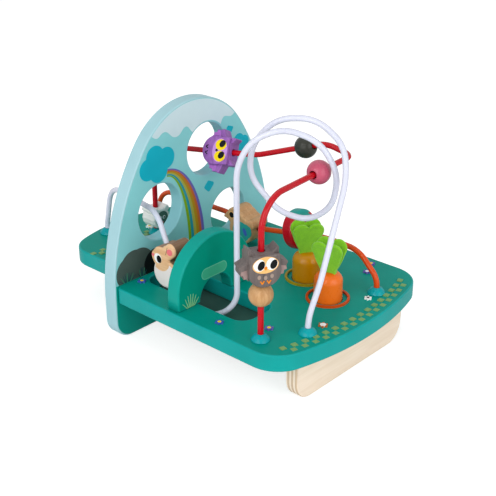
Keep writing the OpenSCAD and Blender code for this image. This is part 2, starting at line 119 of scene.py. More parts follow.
# lacquered plywood: veneers stacked along one axis show on its edges, one grained veneer on its faces
def plyWood(name, pale, brown, light, dark, veneerMm, lowMm, axis, grainMm=3):
    mat, tree, shader, place = newMaterial(name)
    split = addNode(tree, "SeparateXYZ", {0: place})
    low, high = lowMm * mm, (lowMm + 2 * veneerMm) * mm
    depth = addNode(tree, "MapRange", {0: split.outputs[axis], 1: low, 2: high}, clamp=False)
    wave = addNode(tree, "Math", {0: depth}, operation="FRACT")
    layers = addNode(tree, "ValToRGB", {0: wave}, [(0.0, pale), (0.44, pale), (0.5, brown), (0.94, brown)])
    mapped = addNode(tree, "Mapping", {"Vector": place, "Scale": (1.0, 0.06, 1.0)})
    grain = addNode(tree, "TexNoise", {"Vector": mapped, "Scale": 1 / (grainMm * mm), "Detail": 5.0,
                                       "Distortion": 0.1})
    face = addNode(tree, "ValToRGB", {0: grain}, [(0.35, dark), (0.62, light)])
    turned = addNode(tree, "SeparateXYZ", {0: addNode(tree, "NewGeometry").outputs["True Normal"]})
    flat = addNode(tree, "Math", {0: turned.outputs[axis]}, operation="ABSOLUTE")
    isFace = addNode(tree, "MapRange", {0: flat, 1: 0.7, 2: 0.85})
    mixed = addNode(tree, "Mix", {0: isFace, 6: layers, 7: face}, data_type="RGBA")
    bump = addNode(tree, "Bump", {"Height": grain, "Strength": 0.08, "Distance": 0.3 * mm})
    setInputs(tree, shader, {"Base Color": mixed.outputs[2], "Normal": bump, "Roughness": 0.5})
    return mat


# pressed wool felt: tangled fibres, no gloss, a soft halo of sheen; its fibres are drawn coarse, to show
def felt(name, colour, shade, fibreMm=1.1, tuftMm=6):
    mat, tree, shader, place = newMaterial(name)
    fibre = addNode(tree, "TexNoise", {"Vector": place, "Scale": 1 / (fibreMm * mm), "Detail": 8.0,
                                       "Roughness": 0.7, "Distortion": 1.2})
    tuft = addNode(tree, "TexNoise", {"Vector": place, "Scale": 1 / (tuftMm * mm), "Detail": 3.0})
    both = addNode(tree, "Mix", {0: 0.35, 2: fibre, 3: tuft}, data_type="FLOAT")
    tone = addNode(tree, "ValToRGB", {0: both}, [(0.32, shade), (0.66, colour)])
    bump = addNode(tree, "Bump", {"Height": fibre, "Strength": 0.55, "Distance": 0.6 * mm})
    setInputs(tree, shader, {"Base Color": tone, "Normal": bump, "Roughness": 0.95,
                             "Sheen Weight": 0.35, "Sheen Roughness": 0.5})
    return mat


# zinc-plated steel for the screws underneath: a bright grey with fine scratches
def platedSteel(name, light, dark, scratchMm=0.8):
    mat, tree, shader, place = newMaterial(name)
    scratch = addNode(tree, "TexNoise", {"Vector": place, "Scale": 1 / (scratchMm * mm), "Detail": 4.0})
    tone = addNode(tree, "ValToRGB", {0: scratch}, [(0.3, dark), (0.7, light)])
    setInputs(tree, shader, {"Base Color": tone, "Metallic": 1.0, "Roughness": 0.32})
    return mat


# each finish has its colour and a slightly darker one for the clouding or grain
finish = {
    "board": paint("satin_green_paint_on_mdf", "#009687", "#008d7f", 0.36, gloss=0.05),
    # the board's edges take a lighter, bluer copy of the top's teal: painted light, for the stronger light
    # and sheen on the sides
    "boardRimLit": paint("teal_paint_with_painted_light_on_mdf_edges", "#0f9f9b", "#0a9792", gloss=0.12),
    "panel": paint("satin_sky_paint_on_mdf", "#8ad2d6", "#83cbd0", 0.4),
    "panelRim": paint("pale_sky_edge_paint", "#a3cad2", "#9bc4cc", 0.4),
    "holeWall": paint("sky_paint_in_the_holes", "#92d0d8", "#8acad2", 0.42),
    "hill": paint("satin_hill_paint_on_mdf", "#00957f", "#008c76", 0.36, gloss=0.05),
    # the hill's rim, tunnel walls included, takes a lighter copy of its teal: painted light, for the stronger
    # light and sheen on the edges
    "hillRimLit": paint("teal_paint_with_painted_light_on_hill_edges", "#0a9c8f", "#069487", gloss=0.12),
    # the slot plate's dark grey-green is painted shade, the dark seen deep in the slot
    "plate": paint("painted_shade_on_slot_plate", "#35574f", "#2c4c45", 0.55),
    "leg": plyWood("birch_plywood_lacquered", "#f3e3d0", "#cfb597", "#f3e2ce", "#ecd9c2", 2.0, 127.5, 0),
    "dowel": grainWood("beech_dowel", "#dcb988", "#c79f6c"),
    "steel": platedSteel("zinc_plated_steel", "#c9ccd0", "#a9adb2"),
    "whiteWire": paint("white_enamel_on_wire", "#d6d9e8", "#ced1e2", 0.22, 0.35, 2.5, 0.02),
    "redWire": paint("red_enamel_on_wire", "#c0071b", "#b40416", 0.24, 0.25, 2.5, 0.02, 0.12),
    "orangeWire": paint("orange_enamel_on_wire", "#da4f13", "#d0460d", 0.24, 0.25, 2.5, 0.02, 0.12),
    "cap": paint("teal_gloss_abs", "#029ea5", "#02969d", 0.1, 0.12, 4.0, 0.01, 0.08),
    "ball": grainWood("beech_ball_lacquered", "#c79c6c", "#ae7d4d", 5.0, (0.5, 0.3, 0), 0.34),
    "pink": paint("pink_gloss_lacquer", "#c2566f", "#b84d66", 0.28, 0.25, 1.6, 0.012),
    "black": paint("black_green_gloss_lacquer", "#34362f", "#2e302a", 0.34, 0.15, 1.6, 0.01),
    "grey": grainWood("grey_stained_beech", "#6f6562", "#585150", 4.0, roughness=0.45),
    "greyWing": paint("mauve_grey_satin_paint", "#a38a86", "#987f7c", 0.45),
    "peach": ink("peach_print", "#f2bf7b", "#ecb46f"),
    "white": ink("white_print", "#fbfbfb", "#f2f2f2"),
    "ink": ink("black_print", "#16171a", "#101114"),
    "beak": ink("orange_print", "#f08a1c", "#e67f12"),
    "spot": ink("fawn_print", "#a39186", "#99877c"),
    "purple": grainWood("purple_stained_beech", "#9b64b3", "#7f4f97", 4.0, roughness=0.45),
    "purpleWing": paint("orchid_satin_paint", "#b06fc6", "#a666bd", 0.45),
    "lilac": ink("lilac_print", "#c592d8", "#bd88d1"),
    "yellow": ink("yellow_print", "#f7d81b", "#efcd10"),
    "birdWood": grainWood("oiled_beech_bird", "#cfa477", "#b78859", 4.0),
    "mouseWood": grainWood("pale_beech_mouse", "#efc59b", "#dcab7c", 6.0, along=(1, 0, 0)),
    "mouseWhite": ink("mouse_white_print", "#f1e8e6", "#eae0de"),
    "mouseBack": grainWood("brown_stained_beech", "#96745a", "#7d5e47", along=(0, 1, 0)),
    "rose": ink("rose_print", "#f07f86", "#e8737b"),
    "red": paint("red_gloss_lacquer", "#c20d22", "#b7071b", 0.3, 0.3),
    "sheepWhite": paint("white_satin_paint", "#f4f3f0", "#ebeae7", 0.45),
    # the sheep's face print; its dark grey-green tone is painted shade
    "sheepFaceShade": ink("grey_green_print_with_painted_shade", "#5f7a70", "#547066"),
    "mustard": paint("mustard_gloss_lacquer", "#cc8a00", "#c17f00", 0.3, 0.3),
    "orange": paint("orange_gloss_lacquer", "#f4741a", "#ec6a12", 0.3, 0.3),
    "leaf": felt("green_wool_felt", "#88cf14", "#6bb408"),
    "cloud": ink("blue_teal_print", "#10b2c7", "#0ca8bd"),
    "paleSky": ink("pale_sky_print", "#cee3e9", "#c6dde4"),
    "ground": ink("green_ground_print", "#009687", "#008d7f"),
    "burrow": ink("dark_burrow_print", "#171c1c", "#121616"),
    # a brown line on the mouse's ear: painted shade
    "earShadeLine": ink("brown_painted_shade_line", "#7a5f4d", "#705644"),
    "mound": ink("dark_mound_print", "#4e5e59", "#45544f"),
    "reed": ink("dark_reed_print", "#1d565a", "#174c50"),
    "sedge": ink("sedge_print", "#3a8c6e", "#338264"),
    "olive": ink("olive_print", "#7ba76a", "#719d60"),
    "fern": ink("fern_print", "#8ccb94", "#82c28a"),
    "pill": ink("pale_green_print", "#66c09e", "#5cb795"),
    "pillFill": ink("soft_green_print", "#44b18d", "#3ca884"),
    "violet": ink("violet_print", "#6a66b4", "#615dab"),
    "blue": ink("blue_print", "#3f64b8", "#395cae"),
    "teal": ink("teal_print", "#2f9f97", "#28958d"),
    "bandGreen": ink("band_green", "#7fae1e", "#78a518"),
    "bandBlue": ink("band_blue", "#2496ab", "#1e8da2"),
    "bandOlive": ink("band_olive", "#a8ac4e", "#a0a447"),
    "bandMustard": ink("band_mustard", "#b08c1c", "#a88416"),
    "bandOrange": ink("band_orange", "#bf6a33", "#b6622c"),
    "ringMustard": ink("ring_mustard", "#a8921a", "#9e8914"),
    "ringOrange": ink("ring_orange", "#cf5014", "#c5480e"),
}
print("materials:", len(finish))


# Outlines, as arrays of points
def unit(v):  # a direction, or each row of an array, at length 1
    v = np.array(v, float)
    return v / np.linalg.norm(v, axis=-1, keepdims=True)


def circleLoop(cx, cy, rx, ry=None, n=48, turn=0.0):  # ellipse by its angle
    a = np.linspace(0, 2 * np.pi, n, endpoint=False)
    x, y = rx * np.cos(a), (ry or rx) * np.sin(a)
    c, s = math.cos(turn), math.sin(turn)
    return np.stack([cx + c * x - s * y, cy + s * x + c * y], 1)


def arcPoints(cx, cy, r, start, end, n):  # points of an arc by its angles in degrees
    a = np.radians(np.linspace(start, end, n))
    return np.stack([cx + r * np.cos(a), cy + r * np.sin(a)], 1)


def lobedLoop(centre, lobes, n):  # reach of a ray from the centre to the farthest of several circles
    ray = circleLoop(0, 0, 1, n=n)
    circles = np.array(lobes, float)
    offset = circles[:, :2] - centre
    along = ray @ offset.T
    chord = circles[:, 2] ** 2 - (offset ** 2).sum(1) + along ** 2  # square of half the chord on the ray
    reach = np.where(chord > 0, along + np.sqrt(np.maximum(chord, 0)), 0).max(1)
    return np.array(centre) + ray * reach[:, None]


def softLoop(corners, n):  # polygon of (x, y, radius), each corner an arc between its tangent points
    c = np.array(corners, float)
    p, r = c[:, :2], c[:, 2:]
    back, ahead = unit(np.roll(p, 1, 0) - p), unit(np.roll(p, -1, 0) - p)
    half = np.arccos(np.clip((back * ahead).sum(1), -0.9999, 0.9999))[:, None] / 2
    centre = p + unit(back + ahead) * r / np.sin(half)
    start = p + back * r / np.tan(half) - centre
    end = p + ahead * r / np.tan(half) - centre
    swing = np.arctan2(start[:, 0] * end[:, 1] - start[:, 1] * end[:, 0], (start * end).sum(1))
    t = np.linspace(0, 1, n)[None, :] * swing[:, None]
    x = centre[:, :1] + np.cos(t) * start[:, :1] - np.sin(t) * start[:, 1:]
    y = centre[:, 1:] + np.sin(t) * start[:, :1] + np.cos(t) * start[:, 1:]
    loop = np.stack([x.ravel(), y.ravel()], 1)
    return loop[np.linalg.norm(loop - np.roll(loop, 1, 0), axis=1) > 1e-4]


def boxLoop(x0, y0, x1, y1, lowR, highR, n):  # rectangle with one radius at its low corners, one at its high
    return softLoop([(x0, y0, lowR), (x1, y0, lowR), (x1, y1, highR), (x0, y1, highR)], n)


def strokeLoop(start, end, width):  # a thin bar between two points
    a, b = np.array(start, float), np.array(end, float)
    side = unit([a[1] - b[1], b[0] - a[0]]) * width / 2
    return np.array([a - side, b - side, b + side, a + side])


def clipTo(loop, cx, cy, rx, ry):  # pulls what lies outside an ellipse back to it along its ray
    d = loop - (cx, cy)
    far = np.linalg.norm(d / (rx, ry), axis=1)
    return (cx, cy) + d / np.maximum(far, 1)[:, None]


def wound(loop, outer):  # an outer loop runs counter-clockwise and a hole clockwise, by the sign of the area
    x, y = loop.T
    isOuter = (x * np.roll(y, -1) - y * np.roll(x, -1)).sum() > 0
    return loop if isOuter == outer else loop[::-1]


# Surfaces, as points, groups of faces and normals; where normals are zero the faces are flat
def gridFaces(rows, cols, first=0):  # quads between neighbouring rings of points
    i, j = np.meshgrid(np.arange(rows - 1), np.arange(cols), indexing="ij")
    k = (j + 1) % cols
    quads = np.stack([i * cols + j, i * cols + k, (i + 1) * cols + k, (i + 1) * cols + j], -1)
    return first + quads.reshape(-1, 4)


def fanFaces(rows, cols):  # triangles that close the first and last ring with the two points after the grid
    j = np.arange(cols)
    k = (j + 1) % cols
    last, tip = (rows - 1) * cols, np.full(cols, rows * cols)
    return np.concatenate([np.stack([tip, k, j], 1), np.stack([tip + 1, last + j, last + k], 1)])


def stacked(flat, heights):  # rows of flat points, each row at its own height
    tall = np.broadcast_to(heights[:, None, None], flat.shape[:2] + (1,))
    return np.concatenate([flat, tall], -1).reshape(-1, 3)


# a flat plate: each outline carries a rim of quarter round, straight and quarter round, and two flat faces
# close it; a blind outline is (loop, floor, radius of its mouth) and stops at its own floor
def plate(loops, low, high, edge=0.0, steps=6, blind=()):
    jobs = [(wound(loop, i == 0), low, edge, edge) for i, loop in enumerate(loops)]
    jobs += [(wound(loop, False), floor, 0.0, mouth) for loop, floor, mouth in blind]
    quarter = np.linspace(0, np.pi / 2, steps)
    verts, normals, faces, top, bottom, floors, first = [], [], [], [], [], [], 0
    for loop, foot, footR, headR in jobs:
        n = len(loop)
        footTurn = quarter - np.pi / 2 if footR else np.zeros(1)
        headTurn = quarter if headR else np.zeros(1)
        turn = np.concatenate([footTurn, headTurn])
        base = np.repeat((foot + footR, high - headR), (len(footTurn), len(headTurn)))
        ahead = unit(np.roll(loop, -1, 0) - loop)
        right = np.stack([ahead[:, 1], -ahead[:, 0]], 1)
        out = unit(right + np.roll(right, 1, 0))
        mitre = 1 / np.maximum((out * right).sum(1), 0.4)
        inward = headR * (1 - np.cos(turn))[:, None] * mitre
        verts.append(stacked(loop - out * inward[..., None], base + headR * np.sin(turn)))
        tilt = stacked(np.cos(turn)[:, None, None] * out, np.sin(turn))
        normals.append(tilt if headR else np.zeros_like(tilt))
        faces.append(gridFaces(len(turn), n, first))
        (bottom if foot == low else floors).append(first + np.arange(n))
        top.append(first + (len(turn) - 1) * n + np.arange(n))
        first += len(turn) * n
    verts, normals = np.concatenate(verts), np.concatenate(normals)
    tris = []
    for rings, way in [(top, 1), (bottom, -1)] + [([ring], 1) for ring in floors]:
        order = np.concatenate(rings)
        outlines = [[Vector((x, y, 0)) for x, y in verts[ring][:, :2]] for ring in rings]
        cut = np.array(tessellate_polygon(outlines))
        corner = verts[order][cut][:, :, :2]
        a, b = corner[:, 1] - corner[:, 0], corner[:, 2] - corner[:, 0]
        turn = a[:, 0] * b[:, 1] - a[:, 1] * b[:, 0]
        cut = np.where((turn * way > 0)[:, None], cut, cut[:, ::-1])
        tris.append(order[cut[np.abs(turn) > 1e-9]])
    return verts, [np.concatenate(faces), np.concatenate(tris)], normals


# a turned form: a profile of (radius, height) points swung about the axis; a ring's profile is a closed
# loop, any other starts and ends on the axis
def lathe(profile, sides, ring=False):
    p = np.array(profile, float)
    circle = circleLoop(0, 0, 1, n=sides)
    padded = np.concatenate([p[-1:], p, p[:1]] if ring else [p[:1], p, p[-1:]])
    slope = padded[2:] - padded[:-2]
    square = np.stack([slope[:, 1], -slope[:, 0]], 1)
    square /= np.maximum(np.linalg.norm(square, axis=1), 1e-9)[:, None]
    rows = slice(None) if ring else slice(1, -1)
    verts = stacked(p[rows, None, :1] * circle, p[rows, 1])
    normals = stacked(square[rows, None, :1] * circle, square[rows, 1])
    if ring:
        return verts, [gridFaces(len(p) + 1, sides) % len(verts)], normals
    verts = np.concatenate([verts, [(0, 0, p[0, 1]), (0, 0, p[-1, 1])]])
    normals = np.concatenate([normals, [(0, 0, -1), (0, 0, 1)]])
    return verts, [gridFaces(len(p) - 2, sides), fanFaces(len(p) - 2, sides)], normals


# a round bar: a circle carried along a path, square to the path and to one fixed direction
def bar(path, radius, sides=20, fixed=(0.43, -0.9, 0.1)):
    along = unit(np.gradient(path, axis=0))
    u = unit(np.cross(along, fixed))
    v = np.cross(along, u)
    circle = circleLoop(0, 0, 1, n=sides)
    ring = u[:, None] * circle[:, :1] + v[:, None] * circle[:, 1:]
    verts = np.concatenate([(path[:, None] + radius * ring).reshape(-1, 3), path[:1], path[-1:]])
    normals = np.concatenate([ring.reshape(-1, 3), -along[:1], along[-1:]])
    return verts, [gridFaces(len(path), sides), fanFaces(len(path), sides)], normals


def bendPath(corners, step=1.2):  # straight runs, and points about a step apart on the arcs between them
    c = np.array(corners, float)
    p, r = c[:, :3], c[:, 3]
    d = unit(p[1:] - p[:-1])
    points = [p[:1]]
    for i in range(1, len(p) - 1):
        a, b = d[i - 1], d[i]
        turn = math.acos(np.clip(a @ b, -1, 1))
        start = p[i] - a * r[i] * math.tan(turn / 2)
        centre = p[i] + unit(b - a) * r[i] / math.cos(turn / 2)
        e = (start - centre) / r[i]
        t = np.linspace(0, turn, max(4, int(r[i] * turn / step)))[:, None]
        points.append(centre + r[i] * (e * np.cos(t) + a * np.sin(t)))
    return np.concatenate(points + [p[-1:]])


# Pieces: surfaces carried into their place, joined to one object and finished
lying = ((1, 0, 0), (0, 1, 0), (0, 0, 1))  # across, up and out of a board that lies on the ground
upright = ((0, 1, 0), (0, 0, 1), (1, 0, 0))  # the same for a board that faces the front
offBore = (0.21, -0.93, 0.31)  # a direction that no bore follows


def placed(surface, at, axes=lying):  # carries a surface into its own axes
    verts, faces, normals = surface
    axes = np.array(axes, float)
    return verts @ axes + np.array(at, float), faces, normals @ axes


def uprightBoard(loops, piece):  # a plate that faces the front, with its front face at x
    flat = plate(loops, 0, piece["thick"], piece["edge"])
    return placed(flat, (piece["x"] - piece["thick"], 0, 0), upright)


def bead(loops, piece, at, axes):  # a plate about its own middle
    return placed(plate(loops, -piece["thick"] / 2, piece["thick"] / 2, piece["edge"]), at, axes)


def axesFor(axis, face):  # a bead's own axes: across, away from its face, along its bore
    z = unit(axis)
    face = np.array(face, float)
    y = -unit(face - (face @ z) * z)
    return np.cross(y, z), y, z


# one object from surfaces, each with its material's index, or one index for each of its groups of faces;
# where it stands for a CAD node, it takes over that node and its finish
def makePiece(name, body, parts, keys, node=None):
    verts, faces, normals, slots, first = [], [], [], [], 0
    for (points, groups, directions), index in parts:
        for k, group in enumerate(groups):
            faces += (group + first).tolist()
            slots += [index[k] if isinstance(index, tuple) else index] * len(group)
        verts.append(points * mm)
        normals.append(directions)
        first += len(points)
    mesh = bpy.data.meshes.new(name)
    mesh.from_pydata(np.concatenate(verts).tolist(), [], faces)
    for key in keys:
        mesh.materials.append(finish[key])
    mesh.polygons.foreach_set("material_index", slots)
    shading = np.concatenate(normals)
    given = np.linalg.norm(shading, axis=1) > 0.5
    corner = np.zeros(len(mesh.loops), int)
    mesh.loops.foreach_get("vertex_index", corner)
    starts = np.zeros(len(mesh.polygons), int)
    mesh.polygons.foreach_get("loop_start", starts)
    mesh.polygons.foreach_set("use_smooth", given[corner[starts]])
    mesh.update()
    if given.any():
        mesh.normals_split_custom_set_from_vertices(shading.tolist())
    piece = bpy.data.objects.new(name, mesh)
    scene.collection.objects.link(piece)
    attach(piece, body)
    if node:
        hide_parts(node)
    return piece


# smooth shading in which flat faces stay flat and edges past the angle stay sharp
def smoothFlat(piece, angle=34):
    mesh = piece.data
    mesh.polygons.foreach_set("use_smooth", np.ones(len(mesh.polygons), bool))
    mesh.set_sharp_from_angle(angle=math.radians(angle))
    weight = piece.modifiers.new("flat faces stay flat", "WEIGHTED_NORMAL")
    weight.keep_sharp = True


def drill(piece, at, way, r, reach):  # cuts a bore through a piece, reach to either side of a point
    rod = lathe([(0, -reach), (r, -reach), (r, reach), (0, reach)], 40)
    cutter = makePiece("cutter", "frame", [(placed(rod, at, axesFor(way, offBore)), 0)], ["ink"])
    cut = piece.modifiers.new("bore", "BOOLEAN")
    cut.operation, cut.solver, cut.object = "DIFFERENCE", "EXACT", cutter
    mesh = bpy.data.meshes.new_from_object(piece.evaluated_get(bpy.context.evaluated_depsgraph_get()))
    piece.modifiers.clear()
    piece.data = mesh
    bpy.data.objects.remove(cutter)
    smoothFlat(piece)


# Prints: marks are (finish, outline) pairs, where an outline may be a list of one loop and its holes;
# a print is rooted in its board, and each mark lies a step over the last
film = {"sunk": 0.3, "thick": 0.14, "step": 0.02}


def farSide(axes):  # the axes of a board's other face
    across, up, out = np.array(axes, float)
    return -across, up, -out


def mirrored(marks):  # marks for the far side that lie right behind those of the near side
    return [(key, loop * (-1, 1)) for key, loop in marks]


def printed(name, body, marks, at, axes, level, farMarks=()):  # level is the face's height along its axis
    keys = list(dict.fromkeys(key for key, loops in marks))
    parts = []
    for i, (key, loops) in enumerate(marks):
        loops = loops if isinstance(loops, list) else [loops]
        layer = plate(loops, level - film["sunk"], level + film["step"] * i + film["thick"])
        parts.append((placed(layer, at, axes), keys.index(key)))
    makePiece(name, body, parts, keys)
    if farMarks:
        printed(name + "_back", body, farMarks, at, farSide(axes), level)


def dots(key, places, rx, ry=None, n=36, turn=0.0):  # one ellipse of ink at several places
    return [(key, circleLoop(x, y, rx, ry, n, turn)) for x, y in places]


# Camera at the photograph's angle; its place is in millimetres
view = {"azimuth": 42.12, "elevation": 24.92, "lens": 72.78, "sensor": 36, "place": (566.25, -603.12, 454.66)}
camera = bpy.data.objects.new("camera", bpy.data.cameras.new("camera"))
camera.data.sensor_width, camera.data.lens = view["sensor"], view["lens"]
camera.location = [c * mm for c in view["place"]]
camera.rotation_euler = (math.radians(90 - view["elevation"]), 0, math.radians(view["azimuth"]))
scene.collection.objects.link(camera)
bpy.context.scene.camera = camera

# Lamps, world and floor, in metres and watts
lamps = {
    "key": {"place": (0.25, -1.35, 0.75), "size": 1.2, "power": 13.5},  # large soft box at the left front
    "fill": {"place": (1.5, -0.15, 0.6), "size": 1.2, "power": 9.5},  # weaker one at the right front
    "top": {"place": (-0.1, 0.15, 1.6), "size": 1.4, "power": 4.5},  # faint one overhead
}
studio = {"aim": (0, 0, 0.09), "white": (1, 1, 1, 1), "world": 0.42, "backdrop": 1.0, "floor": 4,
          "paper": "#f4f4f4", "glow": 1.8, "glowShare": 0.4}
for name, lamp in lamps.items():
    data = bpy.data.lights.new(name, "AREA")
    data.size, data.energy = lamp["size"], lamp["power"]
    light = bpy.data.objects.new(name, data)
    light.location = lamp["place"]
    aim = Vector(studio["aim"]) - Vector(lamp["place"])
    light.rotation_euler = aim.to_track_quat("-Z", "Y").to_euler()
    scene.collection.objects.link(light)

# the world lights softly, but is white where it is seen straight, in gloss or through glass
scene.view_settings.view_transform = "Standard"
scene.world = bpy.data.worlds.new("studio")
scene.world.use_nodes = True
world = scene.world.node_tree
world.nodes.clear()
ray = addNode(world, "LightPath").outputs
straight = {0: ray["Is Camera Ray"], 1: ray["Is Transmission Ray"]}
seen = {0: addNode(world, "Math", straight, operation="MAXIMUM"), 1: ray["Is Glossy Ray"]}
share = addNode(world, "Math", seen, operation="MAXIMUM")
dim = addNode(world, "Background", {0: studio["white"], 1: studio["world"]})
bright = addNode(world, "Background", {0: studio["white"], 1: studio["backdrop"]})
addNode(world, "OutputWorld", {0: addNode(world, "MixShader", {0: share, 1: dim, 2: bright})})

# white paper floor: it keeps the shadow, and a share of glow that only the camera sees makes it white
wide = studio["floor"]
square = [(-wide, -wide, 0), (wide, -wide, 0), (wide, wide, 0), (-wide, wide, 0)]
floorMesh = bpy.data.meshes.new("floor")
floorMesh.from_pydata(square, [], [(0, 1, 2, 3)])
floorMat, tree, paper = newMaterial("white_paper_floor")[:3]
setInputs(tree, paper, {"Base Color": linear(studio["paper"]), "Roughness": 0.9})
glow = addNode(tree, "Emission", {0: studio["white"], 1: studio["glow"]})
ray = addNode(tree, "LightPath").outputs
share = addNode(tree, "Math", {0: ray["Is Camera Ray"], 1: studio["glowShare"]}, operation="MULTIPLY")
both = addNode(tree, "MixShader", {0: share, 1: paper, 2: glow})
setInputs(tree, tree.nodes["Material Output"], {0: both})
floorMesh.materials.append(floorMat)
floor = bpy.data.objects.new("floor", floorMesh)
scene.collection.objects.link(floor)
print("stage set")

# Nodes that stay as the CAD has them get a finish only
# the slot plate's dark finish is painted shade
plain = {"slot_plate": "plate", "plate_screws": "steel", "panel_dowels": "dowel", "leg_dowels": "dowel",
         "hill_pins": "dowel"}
for node, key in plain.items():
    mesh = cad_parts[node].data
    mesh.materials.clear()
    mesh.materials.append(finish[key])

# Board: bowed front, rounded shoulders at the panel, a narrower rear tongue, the slot and two carrot holes
board = {"low": 37.5, "high": 52.5, "front": 156, "half": 100, "bow": 285, "corner": 30, "edge": 1.4,
         "panelX": -44, "shoulder": 4, "tongue": 71, "rearBow": 170, "rearCorner": 27,
         "slot": (-39, -72.25, 81, -30.75), "slotR": 13,
         "carrots": ((66, 27.5), (105, 9)), "carrotR": 12.9, "carrotDepth": 10, "carrotMouth": 0.5}


def bowedEnd(reach, half, bow, corner):  # corner arc, bow arc that touches it, and the mirrored corner arc
    cy = half - corner
    bowX = reach - bow
    cx = bowX + math.sqrt((bow - corner) ** 2 - cy ** 2)
    lean = math.degrees(math.atan2(cy, cx - bowX))
    low = arcPoints(cx, -cy, corner, -90, -lean, 12)
    return np.concatenate([low, arcPoints(bowX, 0, bow, -lean, lean, 40)[1:-1], (low * (1, -1))[::-1]])


frontEnd = bowedEnd(board["front"], board["half"], board["bow"], board["corner"])
rearEnd = bowedEnd(board["front"], board["tongue"], board["rearBow"], board["rearCorner"]) * (-1, -1)
panelX, tongue, soft = board["panelX"], board["tongue"], board["shoulder"]
shoulder = arcPoints(panelX + soft, board["half"] - soft, soft, 90, 180, 5)
boardLoop = np.concatenate([frontEnd, shoulder, [(panelX, tongue)], rearEnd, [(panelX, -tongue)],
                            (shoulder * (1, -1))[::-1]])
slotLoop = boxLoop(*board["slot"], board["slotR"], board["slotR"], 7)
holeFloor = board["high"] - board["carrotDepth"]
carrotLoops = [circleLoop(x, y, board["carrotR"], n=64) for x, y in board["carrots"]]
holes = [(loop, holeFloor, board["carrotMouth"]) for loop in carrotLoops]
boardPlate = plate([boardLoop, slotLoop], board["low"], board["high"], board["edge"], blind=holes)
# the rim takes the lighter teal, which is painted light on the sides
makePiece("board", "frame", [(boardPlate, (1, 0))], ["board", "boardRimLit"], "base_board")

# Sky panel: a foot corner, a long side arc and a top arc on each side, and round holes of (y, z, radius)
panel = {"x": -44, "thick": 14, "half": 102.5, "spring": 40, "side": 224, "top": 74, "foot": 17, "edge": 1.4,
         "holes": ((-44.3, 107.7, 26), (15.7, 151.3, 24.7), (43.3, 81.2, 23))}
panelReach = panel["side"] - panel["half"]
panelTopZ = panel["spring"] + math.sqrt((panel["side"] - panel["top"]) ** 2 - panelReach ** 2)
lean = math.degrees(math.atan2(panelTopZ - panel["spring"], panelReach))
panelHalf = np.concatenate([
    arcPoints(panel["half"] - panel["foot"], panel["foot"], panel["foot"], -90, 0, 12),
    arcPoints(-panelReach, panel["spring"], panel["side"], 0, lean, 40)[:-1],
    arcPoints(0, panelTopZ, panel["top"], lean, 90, 30)])
panelLoop = np.concatenate([panelHalf, (panelHalf * (-1, 1))[::-1][1:]])
panelHoles = [circleLoop(y, z, r, n=96) for y, z, r in panel["holes"]]
points, (wall, sheets), directions = uprightBoard([panelLoop] + panelHoles, panel)
middle = points[wall].mean(1)[:, 1:]
near = [np.linalg.norm(middle - (y, z), axis=1) < r + panel["edge"] for y, z, r in panel["holes"]]
inHole = np.any(near, axis=0)
panelParts = [((points, [wall[~inHole], wall[inHole], sheets], directions), (1, 2, 0))]
makePiece("sky_panel_board", "frame", panelParts, ["panel", "panelRim", "holeWall"], "sky_panel")
print("board and panel done")

# Leg: a plywood board with two rounded feet
leg = {"x": 139.5, "thick": 12, "half": 73, "high": 37.5, "round": 18, "corner": 0.6, "edge": 1.2}
legLoop = boxLoop(-leg["half"], 0, leg["half"], leg["high"], leg["round"], leg["corner"], 10)
makePiece("leg_board", "frame", [(uprightBoard([legLoop], leg), 0)], ["leg"], "front_leg")

# Hill: a raised half round with a round tunnel
hill = {"x": 30, "thick": 13.5, "y": -50.5, "r": 45.6, "base": 52.5, "rise": 13, "tunnel": 19.5, "edge": 1.6}
hillLoop = np.concatenate([
    [(hill["y"] + hill["r"], hill["base"])],
    arcPoints(hill["y"], hill["base"] + hill["rise"], hill["r"], 0, 180, 60),
    [(hill["y"] - hill["r"], hill["base"])],
    arcPoints(hill["y"], hill["base"], hill["tunnel"], 180, 0, 36)])
# the rim and tunnel walls take the lighter teal, which is painted light
hillParts = [(uprightBoard([hillLoop], hill), (1, 0))]
makePiece("hill_board", "frame", hillParts, ["hill", "hillRimLit"], "tunnel_hill")

# Wires: corners are (x, y, z, bend radius)
wireR = 2.5
wires = {
    "white_wire": {"finish": "whiteWire", "slot": "white_coat", "corners": [
        (-141, -26.5, 40, 0), (-141, -26.5, 62, 30), (-128.5, -29.5, 105.5, 26), (-38.7, -54, 112.5, 24),
        (5.9, -64.5, 41, 15), (30.3, -68.2, 41, 10), (55.5, -52, 41, 24), (55.5, -52, 177, 48),
        (66, -46, 200, 32), (85, -30, 210, 32), (107.5, -12, 200, 37), (119.5, -1.5, 172, 40),
        (113, -0.5, 142, 28), (95, -8, 127.5, 23), (73, -20.5, 133.5, 33), (54, -35, 164.5, 32),
        (56, -34.5, 191, 38), (73, -25, 214.5, 33), (101.5, -9.5, 217, 34), (124, -1.5, 197.5, 31),
        (130, -5.5, 171.5, 78), (133, -38.5, 95, 90), (130.5, -49.5, 66, 50), (130.5, -49.5, 40, 0)]},
    "red_wire": {"finish": "redWire", "slot": "red_coat", "corners": [
        (109, -82.5, 40, 0), (109, -82.5, 171.5, 27), (99, 43, 171.5, 7), (74, 39.5, 177.5, 30),
        (4, 31, 152.5, 50), (-105.5, 5.5, 143, 25), (-105.5, 5.5, 40, 0)]},
    "orange_wire": {"finish": "orangeWire", "slot": "orange_coat", "corners": [
        (130, 45.5, 40, 0), (130, 45.5, 66, 18), (109, 45.5, 87, 28), (71, 45.5, 87.5, 90),
        (-3, 44.5, 74, 40), (-48, 43.5, 79.8, 60), (-139, 41.5, 79.8, 20), (-139, 41.5, 40, 0)]},
}
for node, wire in wires.items():
    wireBar = bar(bendPath(wire["corners"]), wireR)
    makePiece(node + "_bar", "frame", [(wireBar, 0)], [wire["finish"]], node)
